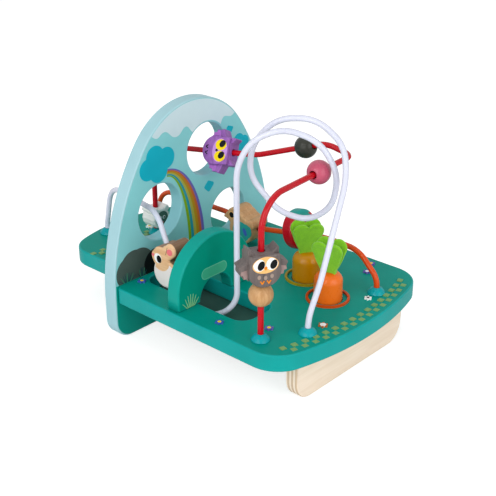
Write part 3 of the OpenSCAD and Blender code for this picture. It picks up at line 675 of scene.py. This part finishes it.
redFront, redRear = (wires["red_wire"]["corners"][end][:2] for end in (0, -1))
print("wires bent")


def spotOn(node, run, share):  # a place on one straight run of a wire, and the run's direction
    a, b = np.array(wires[node]["corners"][run:run + 2], float)[:, :3]
    return a + share * (b - a), unit(b - a)


# Caps: a dome over each wire end, with a small step at its foot
cap = {"r": 8, "h": 6, "edge": 0.5, "gap": 0.05, "step": (0.1, 0.2), "lift": 3, "wall": 2.0}
domeR = (cap["r"] ** 2 + cap["h"] ** 2) / (2 * cap["h"])
domeLow = math.degrees(math.asin((domeR - cap["h"]) / domeR)) + cap["lift"]
domeTop = math.degrees(math.acos(wireR / domeR))
stepIn, stepUp = cap["step"]
capProfile = np.concatenate([
    [(wireR, cap["gap"]), (cap["r"] - cap["edge"], cap["gap"]), (cap["r"] - stepIn, stepUp)],
    arcPoints(0, cap["h"] - domeR, domeR, domeLow, domeTop, 18), [(wireR, cap["wall"])]])
wireEnds = [wire["corners"][end][:2] for wire in wires.values() for end in (0, -1)]
capParts = [(placed(lathe(capProfile, 40, True), (x, y, board["high"])), 0) for x, y in wireEnds]
makePiece("wire_end_caps", "frame", capParts, ["cap"], "wire_caps")

# Balls: an arc of the ball's profile, with a lip of (wider, lower) points at each end of the bore
ball = {"r": 10, "bore": 3.3, "mouth": 0.8, "lip": ((0.25, 0.3), (0, 0.9)), "face": (0.3, -0.9, 0.1),
        "naturalZ": 93, "pinkOn": ("red_wire", 1, 0.61), "blackOn": ("red_wire", 3, 0.28)}
edgeAngle = math.degrees(math.acos((ball["bore"] + ball["mouth"]) / ball["r"]))
edgeHeight = ball["r"] * math.sin(math.radians(edgeAngle))
lip = np.array([(ball["bore"] + wider, edgeHeight - lower) for wider, lower in ball["lip"]])
ballArc = arcPoints(0, 0, ball["r"], -edgeAngle, edgeAngle, 40)
ballProfile = np.concatenate([(lip * (1, -1))[::-1], ballArc, lip])
balls = {"natural_ball": ("ball", "beech", ((*redFront, ball["naturalZ"]), (0, 0, 1))),
         "pink_ball": ("pink", "pink_paint", spotOn(*ball["pinkOn"])),
         "black_ball": ("black", "black_paint", spotOn(*ball["blackOn"]))}
for node, (key, slot, (at, way)) in balls.items():
    turned = placed(lathe(ballProfile, 72, True), at, axesFor(way, ball["face"]))
    makePiece(node + "_turned", node, [(turned, 0)], [key], node)
print("caps and balls turned")

# Owls: a thick belly and head on a thinner plate with ears and feathered wings
owl = {"r": 13.5, "head": 12.5, "h": 27, "corner": 1.4, "thick": 20, "edge": 1.3, "bore": 3.3, "middle": 16,
       "drill": 30, "feet": (-2.7, 2.7), "toes": (-1.5, 1.5), "toeZ": (3.6, 6.2), "toeWide": 0.9}
wings = {
    "thick": 12, "edge": 0.7,
    "half": [(9.5, 6.6, 0.3), (12.6, 5.6, 0.6), (14.2, 7.6, 0.3), (16.4, 7.4, 0.7), (17.0, 10.6, 0.3),
             (19.3, 11.0, 0.7), (18.9, 14.6, 0.3), (20.4, 17.6, 0.8), (12.7, 21.4, 0.3), (12.5, 32.6, 0.8),
             (7.0, 27.4, 0.8)],
    "feathers": [(13.2, 6.6, 0.3), (14.2, 8.0, 0.3), (16.2, 7.9, 0.5), (16.7, 11.0, 0.3), (18.8, 11.4, 0.5),
                 (18.4, 14.4, 0.4), (13.2, 15.4, 0.3)]}
neck = math.degrees(math.acos(owl["head"] / owl["r"]))  # where the belly's circle meets the sides of the head
cornerX, cornerY = owl["head"] - owl["corner"], owl["h"] - owl["corner"]
owlLoop = np.concatenate([
    arcPoints(0, owl["r"], owl["r"], 180 - neck, 360 + neck, 48),
    arcPoints(cornerX, cornerY, owl["corner"], 0, 90, 6),
    arcPoints(-cornerX, cornerY, owl["corner"], 90, 180, 6)])
wingLoop = softLoop(wings["half"] + [(-x, y, r) for x, y, r in wings["half"][::-1]], 5)
featherLoop = softLoop(wings["feathers"], 4)
heel, tip = owl["toeZ"]
toes = [strokeLoop((foot, heel), (foot + toe, tip), owl["toeWide"])
        for toe in owl["toes"] for foot in owl["feet"]]


def makeOwl(name, at, axis, face, wood, feathers, marks):  # body and wings, bored, with their prints
    x, y, z = axesFor(axis, face)
    axes = (x, z, -y)
    for tag, loop, sizes in (("_body", owlLoop, owl), ("_wings", wingLoop, wings)):
        piece = makePiece(name + tag, name, [(bead([loop], sizes, at, axes), 0)], [wood], name)
        drill(piece, np.array(at) + z * owl["middle"], z, owl["bore"], owl["drill"])
    pair = [(feathers, featherLoop), (feathers, featherLoop * (-1, 1))]
    printed(name + "_feathers", name, pair, at, axes, wings["thick"] / 2, pair)
    printed(name + "_face", name, marks, at, axes, owl["thick"] / 2)


# grey owl: mask, eyes of (x, tilt) kept inside it, pupils, beak, belly spots and feet
greyOwl = {"low": 103.4, "turn": 62, "mask": (0, 19.3, 10.6, 6.9), "maskEdge": 0.5,
           "eyes": ((-5.2, 0.5), (5.2, -0.2)), "eyeSize": (19.9, 4.7, 5.2),
           "beak": [(-1.5, 17.2, 0.3), (0.1, 14.6, 0.3), (1.6, 17.4, 0.3), (0.2, 18.6, 0.5)]}
maskX, maskY, maskRx, maskRy = greyOwl["mask"]
eyeRoom = (maskX, maskY, maskRx - greyOwl["maskEdge"], maskRy - greyOwl["maskEdge"])
eyes = [circleLoop(x, *greyOwl["eyeSize"], 48, tilt) for x, tilt in greyOwl["eyes"]]
greyMarks = dots("peach", [(maskX, maskY)], maskRx, maskRy, 72)
greyMarks += [("white", clipTo(eye, *eyeRoom)) for eye in eyes]
greyMarks += dots("ink", [(-3.6, 19.2), (6.6, 19.2)], 2.8, 4.0, turn=-0.35)
greyMarks += [("beak", softLoop(greyOwl["beak"], 4))]
greyMarks += dots("spot", [(-5.2, 9.6), (0, 8.6), (5.2, 9.6)], 1.4, 1.8, 24)
greyMarks += [("beak", toe) for toe in toes]
greyTurn = math.radians(greyOwl["turn"])
greyFace = (math.sin(greyTurn), -math.cos(greyTurn), 0)
greyAt = (*redFront, greyOwl["low"])
makeOwl("grey_owl", greyAt, (0, 0, 1), greyFace, "grey", "greyWing", greyMarks)

# purple owl: mask, eyes, pupils, beak and feet
purpleOwl = {"on": ("red_wire", 4, 0.46), "face": (0.17, -0.89, 0.43),
             "beak": [(-1.4, 15.4, 0.3), (0.1, 13.7, 0.3), (1.5, 15.4, 0.3), (0.1, 17.1, 0.4)]}
purpleMarks = dots("lilac", [(0, 18.6)], 10.8, 7.7, 72)
purpleMarks += dots("yellow", [(-5.1, 19.2), (5.3, 19.2)], 4.9, 5.6, 48)
purpleMarks += dots("ink", [(-6.2, 20.7), (4.1, 20.7)], 2.8, 3.6, turn=0.9)
purpleMarks += [("ink", softLoop(purpleOwl["beak"], 4))] + [("ink", toe) for toe in toes]
at, way = spotOn(*purpleOwl["on"])
makeOwl("purple_owl", at, -way, purpleOwl["face"], "purple", "purpleWing", purpleMarks)
print("owls done")

# Mouse: circles about the head's middle for the head and nose, the body and one ear; the rim is stained
# round the head, with a plain border, and white round the belly, below the neck
mouse = {"at": (-18.2, -60, 78.5), "on": ("white_wire", 3, 0.5), "thick": 21, "edge": 2.2, "bore": 3.5,
         "drill": 60, "centre": (1.5, -6), "head": [(0, 0, 11), (-5.5, 0.5, 6.6), (-7.6, 0.6, 4.4)],
         "body": [(3.7, -13.5, 13.5), (8, -13.5, 13.5)], "ear": [(12.3, 11, 6.5), (8, 8, 6.5), (5, 5, 7)],
         "neck": -7, "border": 1.6, "bellyEdge": 2.4, "bellyCentre": (5, -14), "chin": 11.4}
mouseAt, mouseFace = mouse["at"], mouse["thick"] / 2
mouseAxes = ((1, 0, 0), (0, 0, 1), (0, -1, 0))
mouseLoop = lobedLoop(mouse["centre"], mouse["head"] + mouse["body"] + mouse["ear"], 220)
points, (rim, sides), directions = bead([mouseLoop], mouse, mouseAt, mouseAxes)
fromHead = points[rim].mean(1) - mouseAt
isBelly = fromHead[:, 2] <= mouse["neck"]
isBorder = ~isBelly & (np.abs(fromHead[:, 1]) >= mouseFace - mouse["border"])
isBack = ~isBelly & ~isBorder
mouseParts = [((points, [rim[isBack], rim[isBelly], rim[isBorder], sides], directions), (1, 2, 0, 0))]
mouseKeys = ["mouseWood", "mouseBack", "mouseWhite"]
mouseBlock = makePiece("mouse_block", "mouse", mouseParts, mouseKeys, "mouse")
drill(mouseBlock, *spotOn(*mouse["on"]), mouse["bore"], mouse["drill"])
belly = lobedLoop(mouse["bellyCentre"], [(x, y, r - mouse["bellyEdge"]) for x, y, r in mouse["body"]], 90)
belly *= np.maximum(mouse["chin"] / np.linalg.norm(belly, axis=1), 1)[:, None]  # stays clear of the chin
mouseMarks = [("mouseWhite", belly)]
mouseMarks += dots("white", [(-2.9, -0.2)], 4.6, n=40) + dots("ink", [(-1.5, -0.7)], 3.0, 3.5)
mouseMarks += dots("rose", [(-8.9, 1.6)], 1.5, n=28) + dots("rose", [(12.0, 9.7)], 3.4, 3.0, 32, 0.5)
# a brown line along the ear: painted shade, the shade line at the ear
mouseMarks += [("earShadeLine", strokeLoop((7.0, 6.0), (9.4, 13.6), 0.3))]
printed("mouse_face", "mouse", mouseMarks, mouseAt, mouseAxes, mouseFace, mirrored(mouseMarks))

# Bird: circles for the head, neck and body, a raised tail and a short beak
bird = {"on": ("orange_wire", 4, 0.37), "thick": 22, "edge": 2.0, "bore": 3.5, "drill": 50,
        "centre": (-3, -1), "body": [(-8.5, 6.8, 8.5), (-4, 3, 9.5), (0.2, -4.7, 14)],
        "tail": [(11, 2.2, 5.0)], "beak": [(-16, 7.2, 2.4), (-18.6, 5.2, 1.6), (-19.9, 4.5, 1.1)],
        "eye": [(-10.2, 8.2)], "wing": ((3, -6), [(1.2, -6, 10.2), (7, -4, 7.2), (10.8, -1, 3.0)]),
        "feathers": ((6.2, -5, 4.2), (-1.6, -4.4, 3.6), (0.8, -11.6, 3.2)), "slim": 0.52, "tilt": -1.1}
birdAt, birdWay = spotOn(*bird["on"])
x, y, z = axesFor((0, 0, 1), np.cross((0, 0, 1), birdWay))
birdAxes, birdFace = (x, z, -y), bird["thick"] / 2
birdLoop = lobedLoop(bird["centre"], bird["body"] + bird["tail"] + bird["beak"], 220)
birdParts = [(bead([birdLoop], bird, birdAt, birdAxes), 0)]
birdBlock = makePiece("bird_block", "garden_bird", birdParts, ["birdWood"], "garden_bird")
drill(birdBlock, birdAt, birdWay, bird["bore"], bird["drill"])
birdMarks = [("teal", lobedLoop(*bird["wing"], 80))]
for x, y, r in bird["feathers"]:
    birdMarks += dots("blue", [(x, y)], r, bird["slim"] * r, 32, bird["tilt"])
birdMarks += dots("peach", bird["eye"], 3.5) + dots("ink", bird["eye"], 2.9)
printed("bird_wing", "garden_bird", birdMarks, birdAt, birdAxes, birdFace, mirrored(birdMarks))
print("mouse and bird done")

# Wheel: a disc bored off its middle, with a thick rounded rim; narrow faces above topZ are teal, and so is
# a segment of each side
wheel = {"on": ("orange_wire", 3, 0.37), "r": 18.5, "thick": 12, "edge": 3.0, "lift": 5, "bore": 3.3,
         "topZ": 14.2, "narrow": 3, "sideR": 15.3, "chord": 7.4,
         "stripes": (35, 133), "stripe": 12, "stripeR": 15.35}
wheelAt, wheelWay = spotOn(*wheel["on"])
wheelAxes, wheelFace = axesFor(wheelWay, (0, 0, -1)), wheel["thick"] / 2
wheelLoops = [circleLoop(0, wheel["lift"], wheel["r"], n=96), circleLoop(0, 0, wheel["bore"], n=40)]
points, groups, directions = bead(wheelLoops, wheel, wheelAt, wheelAxes)
split = []
for group in groups:
    height = points[group][:, :, 2] - wheelAt[2] - wheel["lift"]
    isTop = (height.mean(1) > wheel["topZ"]) & (np.ptp(height, axis=1) < wheel["narrow"])
    split += [group[~isTop], group[isTop]]
wheelParts = [((points, split, directions), (0, 1, 0, 1))]
makePiece("wheel_turned", "red_wheel", wheelParts, ["red", "teal"], "red_wheel")
cut = math.degrees(math.asin(wheel["chord"] / wheel["sideR"]))
wheelMarks = [("teal", arcPoints(0, wheel["lift"], wheel["sideR"], cut, 180 - cut, 30))]
for start in wheel["stripes"]:
    end = start + wheel["stripe"]
    wheelMarks += [("red", arcPoints(0, wheel["lift"], wheel["stripeR"], start, end, 6))]
printed("wheel_face", "red_wheel", wheelMarks, wheelAt, farSide(wheelAxes), wheelFace, wheelMarks)

# Sheep: a round body with a ring of woolly lobes and two ears, and a face towards the panel whose dark
# grey-green is painted shade
sheep = {"low": 59.5, "middle": 10.5, "r": 10.2, "thick": 18, "edge": 2.0, "bore": 3.3, "drill": 40,
         "wool": 14, "woolAt": 8.5, "woolR": 2.0, "ears": [(-7, 19.25, 3.5), (7, 19.25, 3.5)]}
sheepAt = (*redRear, sheep["low"])
wool = circleLoop(0, sheep["middle"], sheep["woolAt"], n=sheep["wool"])
lobes = [(0, sheep["middle"], sheep["r"])] + [(x, y, sheep["woolR"]) for x, y in wool] + sheep["ears"]
sheepLoop = lobedLoop((0, sheep["middle"]), lobes, 240)
sheepParts = [(bead([sheepLoop], sheep, sheepAt, upright), 0)]
sheepBlock = makePiece("sheep_block", "sheep", sheepParts, ["sheepWhite"], "sheep")
drill(sheepBlock, np.array(sheepAt) + (0, 0, sheep["middle"]), (0, 0, 1), sheep["bore"], sheep["drill"])
# a face print whose dark grey-green is painted shade, the shade between the sheep and the panel
sheepMarks = dots("sheepFaceShade", [(0, 10.3)], 7.7, 7.9, 60)
sheepMarks += dots("white", [(-2.4, 11.6), (2.4, 11.6)], 1.8, n=28)
sheepMarks += dots("ink", [(-2.2, 11.4), (2.6, 11.4)], 1.0, n=24) + dots("rose", [(0, 6.8)], 1.5, 1.0, 24)
printed("sheep_face", "sheep", sheepMarks, sheepAt, upright, sheep["thick"] / 2)

# Carrots: turned, with a rounded foot and a domed top; rows along the side keep its shading even
carrot = {"r": 12.5, "low": 42.9, "top": 78.5, "dome": 9, "foot": 1.2, "flat": 5, "crown": 1.6,
          "side": (46, 68)}
carrotProfile = np.concatenate([
    [(0, carrot["low"]), (carrot["flat"], carrot["low"])],
    arcPoints(carrot["r"] - carrot["foot"], carrot["low"] + carrot["foot"], carrot["foot"], -90, 0, 6),
    [(carrot["r"], z) for z in np.linspace(*carrot["side"], 8)],
    arcPoints(carrot["r"] - carrot["dome"], carrot["top"] - carrot["dome"], carrot["dome"], 0, 90, 22),
    [(carrot["crown"], carrot["top"]), (0, carrot["top"])]])

# Leaves: two heart-shaped layers of felt that lean apart from a fold pushed into the carrot
leaf = {"half": 14, "h": 29, "lobe": 7.56, "thick": 3.0, "soft": 1.35, "sharp": 60,
        "lean": 7.5, "curl": 0.0018, "limp": 0.3,
        "side": [(4.0, -2.0), (5.4, -0.8), (6.4, 0.9), (7.6, 3.2), (9.2, 6.4), (10.9, 10.5), (12.2, 15.0)],
        "fold": (-7, -2.9, 7, 2.9), "foldR": 1, "foldLow": -4.3, "foldHigh": 2.6, "foldEdge": 1.0}
lobeX, lobeY = leaf["half"] - leaf["lobe"], leaf["h"] - leaf["lobe"]
leafSide = np.array(leaf["side"])
heart = np.concatenate([
    arcPoints(lobeX, lobeY, leaf["lobe"], -18, 158, 26),
    arcPoints(-lobeX, lobeY, leaf["lobe"], 22, 198, 26), (leafSide * (-1, 1))[::-1], leafSide])


# one layer: the heart leant out from the fold, its lobes curling further by the square of their height
def feltLayer(side):
    verts, faces, normals = plate([heart], -leaf["thick"] / 2, leaf["thick"] / 2, leaf["soft"], 5)
    u, h, d = verts.T
    c, s = math.cos(math.radians(leaf["lean"])), math.sin(math.radians(leaf["lean"]))
    curl = leaf["curl"] * np.maximum(h, 0) ** 2 * (1 - leaf["limp"] * np.abs(u) / leaf["half"])
    w = side * (leaf["thick"] / 2 + curl) + d
    leant = np.stack([u, w * c + side * h * s, h * c - side * w * s], 1)
    return leant, [group[:, ::-1] for group in faces], np.zeros_like(normals)


foldLoop = boxLoop(*leaf["fold"], leaf["foldR"], leaf["foldR"], 5)
foldPoints, foldFaces, foldNormals = plate([foldLoop], leaf["foldLow"], leaf["foldHigh"], leaf["foldEdge"])
leafLayers = [feltLayer(-1), feltLayer(1), (foldPoints, foldFaces, np.zeros_like(foldNormals))]
carrots = {"mustard": ("mustard_paint", 54), "orange": ("orange_paint", 15)}  # slot, turn of its leaf
for (tint, (slot, turn)), (x, y) in zip(carrots.items(), board["carrots"]):
    body = tint + "_carrot"
    turned = placed(lathe(carrotProfile, 72), (x, y, 0))
    carrotPiece = makePiece(body + "_turned", body, [(turned, 0)], [tint], body)
    c, s = math.cos(math.radians(turn)), math.sin(math.radians(turn))
    leafAxes = ((c, s, 0), (-s, c, 0), (0, 0, 1))
    leafParts = [(placed(layer, (x, y, carrot["top"]), leafAxes), 0) for layer in leafLayers]
    leafPiece = makePiece(tint + "_felt_leaf", body, leafParts, ["leaf"], tint + "_leaf")
    smoothFlat(leafPiece, leaf["sharp"])
print("carrots and leaves done")


# Shapes of the prints on the boards
def flower(cx, cy, r, petals=6, depth=0.22, n=72):  # round petals: the radius swells with the angle's cosine
    a = np.linspace(0, 2 * np.pi, n, endpoint=False)
    swell = r * (1 - depth + depth * np.cos(petals * a))
    return np.array([cx, cy]) + circleLoop(0, 0, 1, n=n) * swell[:, None]


# thin blades from a narrow root, which lean out and get lower off the middle
def grassFan(low, middle, spread, tall, count, width, root=0.42, sag=0.5):
    blades = []
    for s in np.linspace(-1, 1, count):
        foot, tip = middle + root * spread * s, middle + spread * s
        high = low + tall * (1 - sag * s * s)
        base = [(foot - width / 2, low, 0.1), (foot + width / 2, low, 0.1)]
        blades.append(softLoop(base + [(tip + width / 6, high, 0.1), (tip - width / 6, high, 0.1)], 4))
    return blades


def pillLoop(cx, cy, w, h):  # a bar with round ends
    r = h / 2 - 0.01
    return boxLoop(cx - w / 2, cy - h / 2, cx + w / 2, cy + h / 2, r, r, 12)


def tileLoop(x, y, along, deep=4.5, wide=4.7):  # one square of the checker, turned to the edge
    c, s = math.cos(along), math.sin(along)
    corners = np.array([(-deep, -wide), (deep, -wide), (deep, wide), (-deep, wide)]) / 2
    return np.array([x, y]) + corners @ np.array([(c, s), (-s, c)])


# Panel print: pale sky with a waved lower edge, which passes over the top hole and closes along the rim
inset = panel["edge"] + 0.3  # prints stop short of the rounded edge
skyPrint = {"waveLeft": [(-45.5, 174.8, 5), (-36, 182, 7), (-22.5, 168.8, 8), (-10, 181, 5)],
            "waveRight": [(37.8, 177.4, 4.5), (48.5, 174.6, 6)], "holeGap": 0.5,
            "cloudOne": ((-46, 152.5), [(-57, 150.5, 10), (-48.5, 160, 10.3), (-35.5, 156, 10),
                                        (-45, 146.5, 10.8), (-58, 148, 7.2)]),
            "cloudTwo": ((60, 145), [(54.5, 145.5, 5.5), (58.8, 148.6, 6.8), (66, 145.5, 6.5), (61, 141, 7)]),
            "scraps": [[(10.6, 114.3, 2), (17.2, 108.2, 2), (25.3, 116, 2), (16.7, 120.1, 2)],
                       [(41.3, 162.6, 1.5), (47.8, 158.2, 1.5), (51.6, 164, 1.5), (44, 166.6, 1.5)]]}
holeY, holeZ, holeR = panel["holes"][1]
overHole = arcPoints(holeY, holeZ, holeR + panel["edge"] + skyPrint["holeGap"], 132, 46, 30)
underRim = arcPoints(0, panelTopZ, panel["top"] - inset, 43, 135, 60)
overHole, underRim = ([(y, z, 0) for y, z in arc] for arc in (overHole, underRim))
skyLoop = softLoop(skyPrint["waveLeft"] + overHole + skyPrint["waveRight"] + underRim, 8)
cloudOne = ("cloud", lobedLoop(*skyPrint["cloudOne"], 200))
cloudTwo = ("cloud", lobedLoop(*skyPrint["cloudTwo"], 140))
panelMarks = [("paleSky", skyLoop), cloudTwo]

# a rainbow of six bands between two ellipses
bow = {"at": (-35, 62), "inner": (25.0, 76), "outer": (45.5, 83.0), "from": -2, "to": 90,
       "bands": ("bandGreen", "bandBlue", "bandOlive", "bandMustard", "bandOrange", "violet")}
bowArc = arcPoints(0, 0, 1, bow["from"], bow["to"], 48)
bowRadii = np.linspace(bow["inner"], bow["outer"], len(bow["bands"]) + 1)
edges = [bowArc * radii + bow["at"] for radii in bowRadii]
panelMarks += [(band, np.concatenate([edges[i + 1], edges[i][::-1]])) for i, band in enumerate(bow["bands"])]
panelMarks += [cloudOne] + [("cloud", softLoop(scrap, 6)) for scrap in skyPrint["scraps"]]

# a mound, a burrow and grass behind the hill, and the green ground, which follows the panel's foot
earth = {"mound": ((-78, 60), [(-84, 62, 15.5), (-79, 66, 15.5), (-72, 64, 17), (-66, 60, 15)]),
         "burrow": ((-50, 60), [(-53, 61, 14), (-47, 58, 12)]), "low": 53, "grassLow": 53.2,
         "tufts": ((-87.5, 10, 9.5, 9, 1.2), (-70, 5.5, 9, 6, 1.1)),
         "top": 53.5, "inner": 72, "innerLow": 36.5}
for key, n in (("mound", 120), ("burrow", 100)):
    panelMarks += [(key, np.maximum(lobedLoop(*earth[key], n), (-np.inf, earth["low"])))]
blades = [blade for tuft in earth["tufts"] for blade in grassFan(earth["grassLow"], *tuft)]
panelMarks += [("sedge" if i % 3 == 1 else "reed", blade) for i, blade in enumerate(blades)]
sideR = panel["side"] - inset
groundAngle = math.degrees(math.asin((earth["top"] - panel["spring"]) / sideR))
rightFoot = np.concatenate([
    arcPoints(panel["half"] - panel["foot"], panel["foot"], panel["foot"] - inset, -90, 0, 14),
    arcPoints(-panelReach, panel["spring"], sideR, 0, groundAngle, 6),
    [(earth["inner"], earth["top"]), (earth["inner"], earth["innerLow"])]])
panelMarks += [("ground", np.concatenate([rightFoot, (rightFoot * (-1, 1))[::-1]]))]
printed("panel_print", "frame", panelMarks, (0, 0, 0), upright, panel["x"])
backMarks = [("paleSky", skyLoop), cloudOne, cloudTwo] + dots("cloud", [(19, 115)], 4.6, 3.4, 30, 0.9)
backLevel = panel["thick"] - panel["x"]
printed("panel_print_back", "frame", mirrored(backMarks), (0, 0, 0), farSide(upright), backLevel)

# Hill print: a pill-shaped label with a pale edge, and grass
label = {"at": (-53, 77.3), "fill": (29.6, 9.0), "outer": (31, 10.4), "inner": (29.4, 8.8),
         "tuft": (-82, 9.5, 12, 7, 1.3)}
fill, outer, inner = (pillLoop(*label["at"], *label[part]) for part in ("fill", "outer", "inner"))
hillMarks = [("pillFill", fill), ("pill", [outer, inner])]
hillMarks += [("fern", blade) for blade in grassFan(earth["grassLow"], *label["tuft"])]
printed("hill_print", "frame", hillMarks, (0, 0, 0), upright, hill["x"])

# Board print: two rows of checker along the front and the rear edge, each as (inward, shift along the edge)
checker = {"rows": ((6.8, -1.9), (12.2, 3.7)), "pitch": 10.8, "each": 7,
           "rearX": (-113.5, -108.2), "rearPitch": 11.3, "rearEach": 6}
bowX = board["front"] - board["bow"]
boardMarks = []
for row, (inward, shift) in enumerate(checker["rows"]):
    r = board["bow"] - inward
    for k in range(-checker["each"] - row, checker["each"] + 1):
        a = (shift + checker["pitch"] * k) / r
        boardMarks += [("olive", tileLoop(bowX + r * math.cos(a), r * math.sin(a), a))]
    for k in range(-checker["rearEach"], checker["rearEach"] + 1 - row):
        boardMarks += [("olive", tileLoop(checker["rearX"][row], checker["rearPitch"] * (k + row / 2), 0.0))]

# flowers as place, petals and eye, then their two radii where these aren't the usual ones
flowers = [(66, -84.8, "blue", "yellow"), (102.7, -65, "violet", "yellow"),
           (132.1, -31.8, "bandOrange", "white", 4.3, 2.6), (131.5, 31.2, "white", "ink", 3.4, 1.3),
           (93.5, 88.4, "violet", "yellow"), (100.7, 72.2, "violet", "white"), (-36.3, -77, "blue", "yellow"),
           (10, 86, "white", "yellow"), (38, 80, "blue", "white"), (-82, 52, "violet", "yellow"),
           (-120, 10, "white", "yellow"), (-90, -54, "blue", "yellow")]
usualRadii = (4.0, 1.6)
for x, y, petals, eye, *radii in flowers:
    petalR, eyeR = radii or usualRadii
    boardMarks += [(petals, flower(x, y, petalR))] + dots(eye, [(x, y)], eyeR, n=20)

# a ring round each carrot
ring = {"keys": ("ringMustard", "ringOrange"), "radii": (19, 17)}
for key, (x, y) in zip(ring["keys"], board["carrots"]):
    boardMarks += [(key, [circleLoop(x, y, r, n=72) for r in ring["radii"]])]
printed("board_print", "frame", boardMarks, (0, 0, 0), lying, board["high"])
print("prints done")
